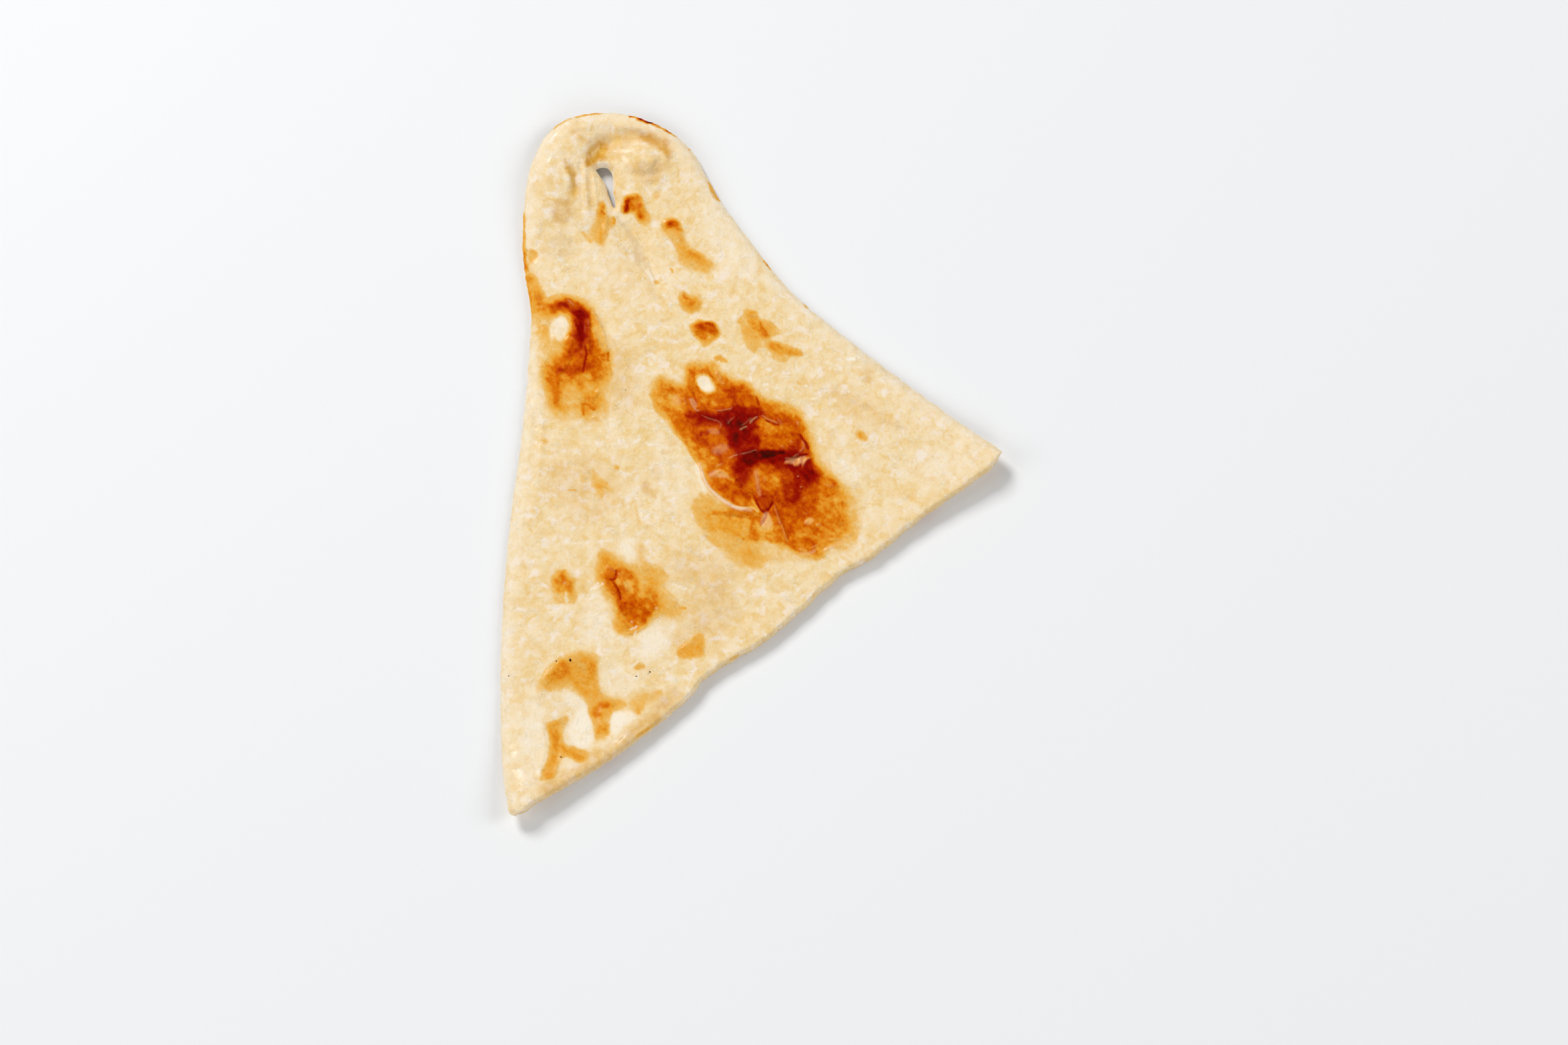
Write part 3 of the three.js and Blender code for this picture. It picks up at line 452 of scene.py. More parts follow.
scorchesAndShade["spots down the middle"] = [
    area(0.26, 0.8, [(-23, 49), (-22.8, 51), (-21.8, 52), (-20.8, 50.8), (-19.4, 50.2), (-18.4, 51.7),
        (-17, 50.8), (-16.2, 48.6), (-16, 46), (-16.6, 44.6), (-18.4, 44.4), (-20.2, 44), (-21.6, 45.2),
        (-22.8, 46.4)]),
    area(0.45, 0.6, [(-22.8, 48.6), (-22.3, 51), (-21.6, 51.2), (-20.6, 49.9), (-19.2, 49.7), (-18.2, 48.6),
        (-17.2, 49), (-16.5, 47.6), (-17, 46.2), (-18.2, 45.2), (-19.6, 45.2), (-20.6, 46.2), (-22, 47)]),
    line(0.62, 0.35, 0.6, [(-21.9, 50.6), (-21.3, 49.4), (-20.2, 48.8)]),
    spot(0.62, 0.6, (-19, 47.6), (1, 0.5)),
    spot(0.1, 0.4, (-19.4, 46.6), (0.3, 0.3)),
    spot(0.34, 0.5, (-21.4, 48.7), (0.4, 0.7)),
    area(0.3, 0.7, [(-20, 39.6), (-18.4, 41.3), (-17, 42.3), (-15, 41.6), (-12.6, 41.4), (-11.5, 40.2),
        (-10.4, 38.6), (-10.8, 36.6), (-12.4, 35.6), (-13.4, 34.4), (-14.8, 33.1), (-15.6, 33.4),
        (-16.4, 34.6), (-17.6, 36), (-19, 37.6)]),
    area(0.57, 0.6, [(-19.4, 39.4), (-18, 41), (-16.8, 41.8), (-14, 41.3), (-12.6, 41), (-11.4, 39.4),
        (-10.9, 37.4), (-11.6, 36.7), (-13.4, 37), (-14.6, 36.8), (-15.2, 35.4), (-16.4, 36), (-17.8, 37)]),
    area(0.71, 0.6, [(-17.8, 40.4), (-16, 41.4), (-13, 41.1), (-11.8, 39.9), (-11.6, 38.6), (-13.6, 38.2),
        (-15, 38.8), (-17, 39.2)]),
    line(0.84, 0.3, 0.5, [(-15.8, 41.1), (-14, 40.8), (-12.6, 40.3), (-12, 39.6)]),
    spot(0.06, 0.4, (-14, 35.9), (0.35, 0.9), -20),
    area(0.32, 0.6, [(-12.4, 29.4), (-11.4, 30.6), (-10.4, 30.9), (-9.4, 30.2), (-8.2, 29), (-8, 28.1),
        (-9, 28.4), (-10.6, 28.9)]),
    spot(0.13, 1.6, (-2, 51.4), (1, 1.7)),
    spot(0.13, 1.2, (-25, 36.4), (0.8, 0.8)),
    area(0.2, 1, [(-5.8, 41), (-5, 43), (-3.8, 44.4), (-4.2, 45.4), (-2, 45.9), (0, 45.2), (1.2, 45.2),
        (1.6, 43.2), (3.6, 42.6), (6, 41), (7.8, 39.2), (8.6, 37.8), (6.8, 37), (5, 35.6), (8, 34.9),
        (11, 34), (13.6, 32.5), (15.2, 30.9), (14, 30.2), (11.6, 30.4), (9.4, 28), (7.4, 28.4), (5.4, 29.6),
        (4.8, 31.6), (1.6, 33), (0.6, 31), (-1.4, 31.6), (-2.8, 33.4), (-3.4, 35.6), (-4.2, 38),
        (-4.6, 39.8)]),
    area(0.34, 0.9, [(-2.4, 44.8), (-0.8, 45.2), (0.6, 44), (1.2, 42.8), (3, 41.6), (5.6, 40.6), (6.4, 39.4),
        (4.6, 38.4), (4.2, 36.4), (1.6, 36), (-1, 36), (-3, 37.4), (-3.4, 39.6), (-1.8, 40.4), (-2.2, 42.4)]),
    area(0.48, 0.6, [(-1.8, 41.4), (-0.6, 41.6), (0.4, 42), (1.2, 42.6), (2, 40.8), (3, 39.6), (4.2, 37.4),
        (3.4, 36.6), (1.2, 37), (1.4, 38.6), (0, 39), (-0.8, 40)]),
    line(0.62, (0.35, 0.5), 0.6, [(1.2, 41.9), (1.8, 40.6), (2.6, 39.4), (3.8, 37.8)]),
    spot(0.26, 0.5, (1.1, 39.6), (0.4, 0.3)),
    area(0.4, 0.7, [(4.4, 34.4), (6.6, 34.8), (8, 33.9), (10, 33.1), (12.6, 32.8), (14.2, 31.7), (14.6, 30.9),
        (12.4, 30.6), (10.6, 30.4), (9.4, 31), (7, 30.2), (5.4, 31)]),
    line(0.52, 0.4, 0.7, [(6.2, 34.2), (7.6, 33.4), (9.4, 32.3)]),
    line(0.46, 0.25, 0.5, [(10.6, 32.8), (11, 31.4)]),
    spot(0.16, 1.4, (13.8, 21.4), (1.3, 0.7), -35),
    spot(0.16, 1.4, (21.5, 25.9), (1.4, 0.7), -10),
    spot(0.18, 1.4, (-28, 42), (0.9, 0.7)),
    spot(0.16, 1.4, (-35.6, 38.4), (1, 0.8)),
]
scorchesAndShade["small blister"] = [
    area(0.19, 1.2, [(-35, -28.6), (-33, -28.6), (-32.4, -33.4), (-30, -35.4), (-27.6, -36), (-26, -38),
        (-24.4, -38.8), (-24.4, -41), (-26.4, -42), (-25.6, -44), (-23.4, -45), (-21.6, -48), (-19.6, -50.6),
        (-20, -52.4), (-24, -53), (-28, -51.4), (-30, -46), (-34, -38), (-35, -33)]),
    area(0.24, 0.9, [(-46.2, -31), (-44.4, -30.8), (-42.6, -31.6), (-40.4, -32.8), (-39, -34.6), (-36.6, -36),
        (-35.6, -37.4), (-33.4, -37.6), (-32, -36.4), (-29.6, -36.8), (-28.2, -38.6), (-28.4, -41.4),
        (-27.4, -44.4), (-26.6, -47.4), (-25, -48.6), (-23, -49.8), (-23.4, -51.6), (-27.6, -51.4),
        (-29.2, -52.4), (-31, -54.8), (-33, -56.2), (-35.4, -57.6), (-38, -58.2), (-40.4, -57.4),
        (-41.8, -55), (-41.4, -51.6), (-41.3, -49.4), (-42.6, -47), (-44, -44.8), (-45, -42.6),
        (-46.6, -41.4), (-46.4, -38.6), (-46.8, -35)]),
    area(0.43, 0.7, [(-45.2, -33.4), (-43, -33.6), (-41.6, -35), (-39.6, -35.9), (-37.6, -36.9), (-36, -38),
        (-35, -39.6), (-34, -42), (-33.4, -44.6), (-32.2, -43.4), (-31.8, -40), (-32.4, -38.6), (-30.6, -38),
        (-29.6, -39.4), (-29.4, -42), (-28.6, -45), (-27.6, -47.4), (-26.4, -48.6), (-27.4, -49.8),
        (-29.4, -50), (-30, -51.8), (-31.6, -54), (-33.4, -55.4), (-36.6, -56), (-38.6, -57.4),
        (-40.2, -56.2), (-41.2, -53.6), (-40.6, -50), (-41.4, -48), (-42.8, -45.6), (-44.2, -43), (-46, -41),
        (-46.2, -38.6), (-45.4, -36)]),
    area(0.56, 0.6, [(-44, -35.6), (-42.4, -36), (-40.4, -36.4), (-38.4, -37), (-36.8, -38.2), (-36, -40),
        (-35.2, -42.6), (-34.4, -45.2), (-32.6, -46), (-31.6, -43.6), (-30, -42.6), (-29.2, -45),
        (-28, -47.4), (-27, -48.6), (-29.4, -49.4), (-30.4, -51.6), (-32, -54), (-34, -54.8), (-37, -54.6),
        (-38.8, -53), (-40.2, -51.6), (-40.4, -48.6), (-41.6, -46), (-43.2, -43), (-44.8, -41),
        (-43.8, -38.6)]),
    area(0.63, 0.6, [(-43.2, -38), (-42, -37.2), (-40.6, -37.6), (-40, -39.6), (-39.4, -41.6), (-38.4, -43.6),
        (-36.4, -45.4), (-35, -46.6), (-33.4, -47.2), (-31.6, -46.8), (-29.4, -47.4), (-27.8, -48.2),
        (-29.4, -49.2), (-30.2, -51), (-31.6, -53.6), (-33.4, -53.6), (-35, -52.6), (-36.4, -51.6),
        (-38.4, -52), (-39.6, -50.6), (-40.2, -48.6), (-41.1, -46.6), (-42.3, -44.6), (-43.5, -42.4),
        (-43.9, -40.9), (-42.6, -40.2)]),
    area(0.76, 0.6, [(-31.8, -50.2), (-30.6, -51), (-31.6, -53.4), (-32.6, -53.6), (-33.4, -52)]),
    line(0.76, 0.4, 0.7, [(-40.6, -44.6), (-39.9, -46.4), (-40.2, -48)]),
    spot(0.5, 0.7, (-34.6, -50.2), (1.8, 1), -15),
    area(0.1, 0.35, [(-41.2, -40.8), (-40.6, -40), (-40, -40.8), (-39.9, -42.1), (-40.6, -41.8)]),
    area(0.08, 0.35, [(-37.8, -40.6), (-36.6, -41.2), (-36.4, -42.6), (-36, -44.2), (-35.6, -44.8),
        (-36.6, -44.2), (-37.5, -43), (-38.2, -42.4)]),
    spot(0.44, 0.6, (-39, -38.6), (0.7, 0.4), -30),
    spot(0.28, 0.6, (-33, -44.6), (0.4, 0.7)),
    spot(1.0, 0.3, (-38, -48.1), (0.22, 0.2)),
    area(0.3, 0.5, [(-37.2, -56.2), (-35.6, -56), (-35, -56.8), (-36, -57.6), (-37.6, -57.2)]),
    spot(0.42, 0.5, (-21.2, -49.5), (0.4, 0.25)),
    spot(0.5, 0.5, (-20, -49.4), (0.5, 0.4)),
    line(0.14, 0.7, 1.4, [(-35.4, -17.6), (-35, -20), (-34, -23.6)]),
    area(0.2, 1, [(-60.6, -42), (-60.2, -39.8), (-58.8, -38), (-57, -37.4), (-55, -38.2), (-54.2, -39.6),
        (-52.6, -40.2), (-51, -39.9), (-51.6, -40.8), (-52.8, -41.6), (-52.8, -43.6), (-52.2, -46),
        (-52.8, -48), (-55, -48.4), (-57, -48.4), (-59, -47.4), (-60, -45)]),
    area(0.45, 0.7, [(-59.4, -42), (-58.8, -40), (-57.4, -38.3), (-56, -38.2), (-55.2, -40), (-54, -41.4),
        (-53.4, -43.6), (-53.8, -45.2), (-55, -44.4), (-56.2, -44.2), (-57.8, -44.4), (-58.8, -44)]),
    line(0.58, 0.5, 0.8, [(-57.4, -39), (-56.6, -40.6), (-56.8, -42)]),
    line(0.56, 0.25, 0.6, [(-55.4, -41), (-54.4, -42.6), (-54, -44.2)]),
    line(0.02, (0.2, 0.5), 0.6, [(-56, -44), (-55.6, -46), (-55.2, -48)]),
    area(0.32, 0.9, [(-22.6, -62.6), (-20.6, -60.2), (-18.4, -58.6), (-16, -57.2), (-14.6, -58), (-14.6, -64),
        (-17, -64.4), (-20, -65), (-22, -64.6)]),
    spot(0.15, 2, (-63.2, 3), (1.4, 1.9)),
    area(0.2, 0.9, [(-48.6, -5.6), (-46, -8.5), (-43.8, -10), (-42.6, -13.5), (-44.5, -13), (-45.4, -17),
        (-47, -13), (-48.8, -11)]),
    spot(0.36, 0.9, (-46.2, -11.4), (1.1, 0.8), -30),
    spot(0.28, 0.8, (-41.3, -5.4), (0.8, 0.8)),
    spot(0.14, 1.2, (-36.5, -5.6), (1, 1)),
    line(0.3, 0.2, 0.5, [(-56, -12.6), (-53, -12.6)]),
    spot(0.14, 1.8, (-19, -34), (1.4, 1.2)),
    spot(0.14, 1.8, (-12, -40), (1.4, 2)),
]
scorchesAndShade["heel"] = [
    area(0.2, 0.9, [(-64, -73), (-63, -70), (-60.6, -67), (-58, -64.7), (-55, -63.1), (-52, -62.3),
        (-49.6, -62.3), (-47, -63), (-44.8, -64.4), (-45.2, -66), (-46, -68.4), (-46, -70.6), (-45, -72),
        (-44.4, -74), (-42.8, -76), (-40.4, -76.9), (-38, -77.4), (-36.6, -78.4), (-35, -75.8), (-32, -74.8),
        (-29, -74.4), (-27, -74), (-26.8, -76.6), (-29, -78.6), (-31.4, -79), (-32.2, -81.4), (-33.6, -82.6),
        (-35.2, -81.6), (-36.4, -80), (-38.6, -80.6), (-41.2, -80.8), (-41.8, -83), (-42, -86), (-42.4, -89),
        (-44.4, -90.2), (-46.2, -89.6), (-46.6, -86.4), (-47.6, -83.4), (-48.4, -80.6), (-49.4, -77.6),
        (-52, -75.8), (-54.6, -74), (-57.4, -75), (-60.6, -75.2), (-63.4, -75.4)]),
    area(0.36, 0.9, [(-61.2, -71.8), (-60.4, -70), (-59, -68.4), (-57.8, -66.6), (-56.2, -65.2),
        (-54.4, -65.8), (-53, -64.8), (-50.6, -64.4), (-48, -64.6), (-46.4, -66.4), (-45.8, -68.8),
        (-46.2, -71.4), (-45.4, -74), (-44.2, -76.6), (-42.4, -77.6), (-39.6, -78.2), (-40, -80),
        (-41.6, -81), (-42.2, -83.6), (-42.6, -87.6), (-44.4, -89), (-46, -88), (-46.2, -85), (-47.4, -82),
        (-48.2, -79.4), (-49.4, -76), (-52, -74), (-54.6, -72), (-57, -72.4), (-59.4, -73.4),
        (-61.2, -73.6)]),
    area(0.46, 0.9, [(-57.6, -66.6), (-56.2, -65.4), (-55, -66.6), (-53.6, -67.6), (-53, -69.4), (-55, -69.8),
        (-57.8, -71.6), (-59.4, -71.6), (-58.6, -69)]),
    spot(0.46, 1.2, (-47.6, -68.2), (1, 2.2)),
    spot(0.43, 1.2, (-51.6, -72.4), (1.6, 1)),
    area(0.5, 0.9, [(-46.6, -79), (-45, -77.8), (-43, -78), (-42.4, -79.4), (-43.6, -80.6), (-42.6, -82.4),
        (-44.4, -82.9), (-46.8, -83), (-47.4, -81)]),
    spot(0.34, 0.7, (-44.6, -81), (0.9, 0.8)),
    line(0.48, 0.4, 0.8, [(-44.8, -84), (-45.2, -86.4), (-45.3, -88)]),
    line(0.44, 0.3, 0.8, [(-43, -84.4), (-43, -87.6)]),
    line(0.43, 0.3, 0.8, [(-33.8, -79.6), (-33.6, -82)]),
    area(0.22, 0.9, [(-61.8, -83.6), (-60, -84.2), (-57, -83), (-54.6, -82.2), (-54.2, -84), (-55.4, -87),
        (-55.2, -90.4), (-53, -91.4), (-50, -92.2), (-47.6, -93.4), (-47.6, -95.4), (-49.6, -96.6),
        (-52, -96), (-54.4, -94.8), (-56, -96.2), (-56.6, -99), (-58, -101.2), (-60, -102), (-62.4, -101.8),
        (-61.8, -99), (-60.6, -96.4), (-59.8, -93), (-60, -89), (-61, -86)]),
    area(0.38, 0.8, [(-60, -85.4), (-58.6, -84.4), (-57, -84), (-56.4, -86.6), (-56, -90), (-54.6, -91.8),
        (-51.4, -92.4), (-48.6, -94), (-50, -95.8), (-52.4, -95), (-54.8, -93.8), (-57, -94.4), (-57.4, -97),
        (-58.4, -100.4), (-61, -101.2), (-61.2, -99), (-60, -96.4), (-59.2, -93), (-59.2, -89)]),
    line(0.5, (0.3, 0.7), 0.8, [(-57.8, -86.6), (-57.7, -89), (-57.9, -91.6)]),
    area(0.28, 0.6, [(-35.2, -68), (-34.6, -66.9), (-33.6, -66.2), (-32.4, -66.7), (-31.9, -67.6),
        (-33, -68.3), (-34.4, -68.5)]),
    spot(0.42, 0.4, (-25.6, -68), (0.3, 0.25)),
    line(0.24, 0.5, 1.2, [(-7.5, -65.6), (-4, -63.8)]),
    line(0.3, 0.6, 1.2, [(-34, -88.4), (-29.5, -85.2)]),
]
scorchesAndShade["wing"] = [
    area(0.28, 0.7, [(30.2, 5), (31, 6.2), (33, 6), (34.4, 3.4), (33.6, 2.6), (32, 3.6)]),
    spot(0.4, 0.7, (32, 4.8), (0.9, 0.4), -30),
    spot(0.12, 2.2, (45, 7.2), (2.6, 0.9), -15),
    spot(0.12, 2.2, (47.5, -15), (1.8, 1.4)),
    spot(0.1, 2.2, (53, -9), (2.4, 1.2)),
]
# toasting that keeps to the baked rim itself
rimScorches = [
    line(0.34, 0.7, 0.9, [(-71.5, 78), (-71, 66), (-70.2, 58)]),
    line(0.55, 0.6, 0.6, [(-71, 64), (-70.6, 61)]),
    line(0.6, 0.6, 0.5, [(-70.2, 60.2), (-69.9, 58.8)]),
    line(0.46, 0.5, 0.6, [(-69.4, 54), (-68.4, 50), (-68.2, 45.6)]),
    line(0.3, 0.6, 0.7, [(-63, 106.4), (-58, 109), (-52, 111)], 0.8),
    line(0.42, 0.6, 0.6, [(-53.4, 111.2), (-46, 112), (-40, 111.8), (-36, 110.6), (-31, 107.8)]),
    line(0.86, 0.6, 0.4, [(-50.5, 112), (-49.8, 112.1)]),
    line(0.98, 0.45, 0.45, [(-43.6, 112), (-40.4, 111.8)]),
    line(1.14, 0.8, 0.5, [(-38.8, 111), (-37.4, 111)]),
    line(0.7, 1.7, 0.9, [(-35.6, 109.8), (-33, 108.4), (-31.6, 107.8)]),
    line(1.25, 1.15, 0.6, [(-35.2, 110.2), (-33.8, 109.6), (-32.8, 108.7)]),
    line(0.42, 0.6, 0.6, [(-30, 107.4), (-22, 102), (-20, 99.6)]),
    line(0.98, 0.65, 0.5, [(-27, 105.6), (-25, 104.6), (-23.6, 103.2)]),
    line(0.3, 0.8, 0.8, [(-14, 87), (-12.6, 84), (-10.6, 82)]),
    line(0.5, 0.7, 0.6, [(-9.6, 81.4), (-8.4, 79.8)], 0.8),
    line(0.42, 0.6, 0.6, [(-7.6, 78.6), (-2.4, 71), (0.4, 66.8)], 0.8),
    line(0.74, 0.7, 0.5, [(1.2, 65.4), (4.6, 60.4), (8.8, 56)]),
    line(0.46, 0.6, 0.6, [(10, 54.6), (14, 50.4)], 0.7),
    line(0.34, 0.7, 0.8, [(16, 47), (19, 44.6)], 0.7),
    line(0.38, 0.6, 0.6, [(24, 42), (29, 37.6)], 0.6),
    line(0.38, 0.6, 0.6, [(44, 25), (50, 20.6)], 0.6),
]
# where pale dough meets the scorch sharply
edgesKept = [
    area(0, 0.8, [(-63.5, 50), (-60, 51.4), (-55, 51), (-52, 50), (-50, 54), (-62, 55.6)]),
    area(0, 0.7, [(-33.1, 18.1), (-31.1, 16), (-30.6, 13.4), (-27.6, 9.8), (-26, 6.9), (-23.8, 4.6),
        (-21.5, 2.5), (-19.3, -1.3), (-17.8, -3.6), (-17.2, -5), (-16.8, -8), (-20, -11), (-27, -6), (-33, 6),
        (-33, 16)]),
    area(0, 0.35, [(-64, -72.4), (-63, -70.5), (-61.5, -68), (-59.7, -65.9), (-57.3, -64), (-54.2, -62.7),
        (-51.7, -62), (-49.8, -61.9), (-47.6, -62.4), (-45, -63.6), (-42, -65.4), (-42, -61), (-49, -57.5),
        (-57, -59), (-64, -64), (-67, -70)]),
]
# painted highlights: small bright dabs and glints of wet butter on the skin, the slot's lip and a blister's
# crest
highlightDabs = [
    line(0.8, 0.45, 0.5, [(27.8, 29.2), (29.6, 29.4), (31, 28.8)]),
    line(0.7, 0.25, 0.4, [(30.6, 30), (32.4, 30)]),
    line(0.6, 0.14, 0.4, [(19, 26.6), (22, 28.4), (24, 27.4)]),
    line(0.5, 0.2, 0.4, [(17, 16.6), (19.4, 16.6)]),
    spot(0.6, 0.5, (3.4, 21.2), (1, 0.6), 20),
    spot(0.5, 0.5, (6.6, 20), (0.8, 0.4)),
    spot(0.5, 0.5, (26.4, 18.8), (0.6, 0.5)),
    spot(0.5, 0.5, (28, 20.6), (0.7, 0.4)),
    spot(0.5, 0.5, (24.6, 16.2), (0.5, 0.5)),
    spot(0.7, 0.4, (-1, 22.8), (0.3, 0.6)),
    line(0.9, 0.2, 0.35, [(-48.8, -43.2), (-47.8, -43.4), (-46.6, -43)]),
    spot(0.9, 0.3, (-46.2, -41.7), (0.3, 0.3)),
    spot(0.7, 0.3, (-44.9, -41.9), (0.25, 0.4)),
    spot(0.7, 0.3, (-49.2, -45.6), (0.35, 0.2)),
    spot(0.9, 0.3, (-56.1, -41.9), (0.3, 0.15), 20),
    line(0.9, 0.12, 0.3, [(-36.6, -56), (-35.4, -55.6), (-34, -54.6)]),
    line(0.9, 0.16, 0.3, [(-35.2, -56.3), (-34.9, -57), (-35.4, -57.8)]),
    line(0.6, 0.2, 0.35, [(-40.4, -58.7), (-39.4, -59)]),
    spot(0.8, 0.3, (-35.9, -53.7), (0.2, 0.2)),
    line(0.6, 0.18, 0.4, [(-26.6, -41.8), (-24, -42.2), (-21, -43.2), (-19, -43.9)]),
    line(0.6, 0.2, 0.4, [(-28.7, -49.2), (-29, -50)]),
    line(0.6, 0.2, 0.4, [(-58.4, -29.6), (-57.6, -29)]),
    spot(0.5, 0.5, (-31.6, 28.4), (0.7, 1.2), 35),
    line(0.5, 0.3, 0.6, [(-34.2, -18), (-33.6, -22)]),
    line(0.9, 0.5, 0.7, [(-48.4, 93), (-46.8, 93.6), (-45.4, 93)]),
    line(0.4, (0.3, 0.5), 0.6, [(-16.4, -4), (-14.6, -10), (-11.4, -14.2), (-6, -18), (-1, -18.8)]),
]
# painted sheen: patches where thin buttered skin gleams over a blister
gleams = [
    spot(0.55, 1.2, (-23.6, 16.1), (1.2, 1.8), 20),
    spot(0.75, 0.5, (-18.4, 15.2), (0.8, 1.7), 25),
    spot(0.5, 1.6, (-10.2, 0.4), (2.4, 1.3), 20),
    spot(0.35, 0.8, (-12.4, 6), (1.6, 0.8), -20),
    area(0.8, 0.5, [(-13.8, -7.8), (-11.6, -6.2), (-9.4, -7), (-7.4, -8.4), (-9.6, -8.6), (-11.8, -8.2)]),
    area(0.7, 0.5, [(9.4, -3.6), (12, -2.6), (15.4, -2), (14.8, -4), (11.6, -4.4)]),
    line(0.45, (0.6, 0.4), 1.2, [(0.7, -6.8), (1, -10), (1.7, -14)]),
    area(0.85, 0.6, [(3.2, -19.6), (4.6, -20.4), (5.4, -23.6), (3, -24.4), (2, -22.8)]),
    line(0.8, (0.5, 0.7), 0.6, [(-16.4, -4), (-14.6, -10), (-11.4, -14.2), (-6, -18), (-1, -18.8)]),
    line(0.8, 0.5, 0.5, [(13.4, -32.4), (16.4, -32.6), (18.6, -31.2)]),
    line(0.55, 0.5, 0.7, [(20, -31.6), (24, -30), (28.4, -27.4)]),
    spot(0.45, 0.9, (16.6, -22.4), (1.4, 1), 30),
]
# butter-soaked yellow dough in the hollows; the tan in the tip's groove and down the right side of the bulge
# by the slot is partly painted shade
soakingsAndShade = [
    # the groove round the tip: butter-soaked yellow, partly painted shade
    area(0.45, 1.2, [(-53.2, 94), (-52.4, 98), (-50, 101.6), (-46, 104), (-41, 104.8), (-36, 106), (-31, 105),
        (-27, 103.4), (-25.4, 99.6), (-26, 96), (-27.6, 96.6), (-29.4, 99.4), (-33, 101.4), (-38, 101.6),
        (-41, 99), (-45, 98.2), (-46.4, 95.4), (-50, 93)]),
    area(1.0, 1.1, [(-52.6, 94), (-51.6, 98), (-49.4, 101), (-46.6, 101.6), (-45.6, 99.4), (-46.6, 96),
        (-49.6, 94)]),
    area(0.9, 1.1, [(-36.6, 104), (-33, 104.6), (-29.8, 103.4), (-27.2, 101.6), (-26.6, 98.4), (-27.6, 96.8),
        (-29.6, 98.6), (-31.6, 100.8), (-34.6, 102)]),
    line(0.6, 0.9, 1.6, [(-46.6, 102), (-42, 103.4), (-37, 104)]),
    area(0.45, 1.2, [(-46, 97.8), (-43, 99), (-40, 98.4), (-42, 96), (-45, 95.4)]),
    area(0.4, 1.6, [(-40, 93.4), (-36, 94.4), (-31, 94.8), (-27, 95.6), (-29, 91), (-31, 88.4), (-36, 89)]),
    # the shaded right side of the bulge beside the slot, partly painted shade
    area(0.55, 1, [(-59.4, 95.4), (-57.6, 94.4), (-55.8, 91), (-54.4, 86.4), (-55, 82), (-56.6, 80),
        (-56.6, 77), (-58.6, 74.4), (-62, 75), (-62.4, 79), (-61.5, 82), (-58.4, 82.6), (-57.6, 85.4),
        (-57, 88), (-58, 91)]),
    line(0.9, 0.6, 1, [(-58.2, 93), (-56.4, 90), (-55.6, 86.4), (-56.2, 83.6)]),
    line(0.35, 1.2, 2.5, [(-57, 106), (-52.5, 102)]),
    line(0.3, 0.7, 1.8, [(-51.5, 90), (-50.5, 78)]),
    area(0.1, 6, [(-45, 64), (-36, 60), (-38, 50), (-50, 52)]),
    area(0.3, 5, [(24, 20), (34, 16), (44, 8), (36, 8), (26, 13)]),
    area(0.25, 6, [(-64, -8), (-48, -2), (-40, -14), (-52, -22)]),
    area(0.3, 7, [(-26, -36), (-14, -34), (-6, -42), (-10, -58), (-24, -60), (-18, -48)]),
    area(0.3, 5, [(-46, 32), (-38, 34), (-36, 16), (-44, 14)]),
    line(0.5, 2.2, 3, [(-60, -104.5), (-48, -97), (-38, -91), (-28, -82), (-24, -76)]),
    area(0.5, 0.9, [(-33, -10), (-31, -10.4), (-29.2, -15), (-33.6, -13.4)]),
    spot(0.4, 2, (-29, -7), (1.6, 2.4), 15),
    spot(0.4, 1, (-27, -0.6), (1, 0.8)),
    spot(0.35, 2, (-24.6, 2.4), (1.6, 1.2)),
    spot(0.3, 2, (34, 24), (2, 2.6)),
]
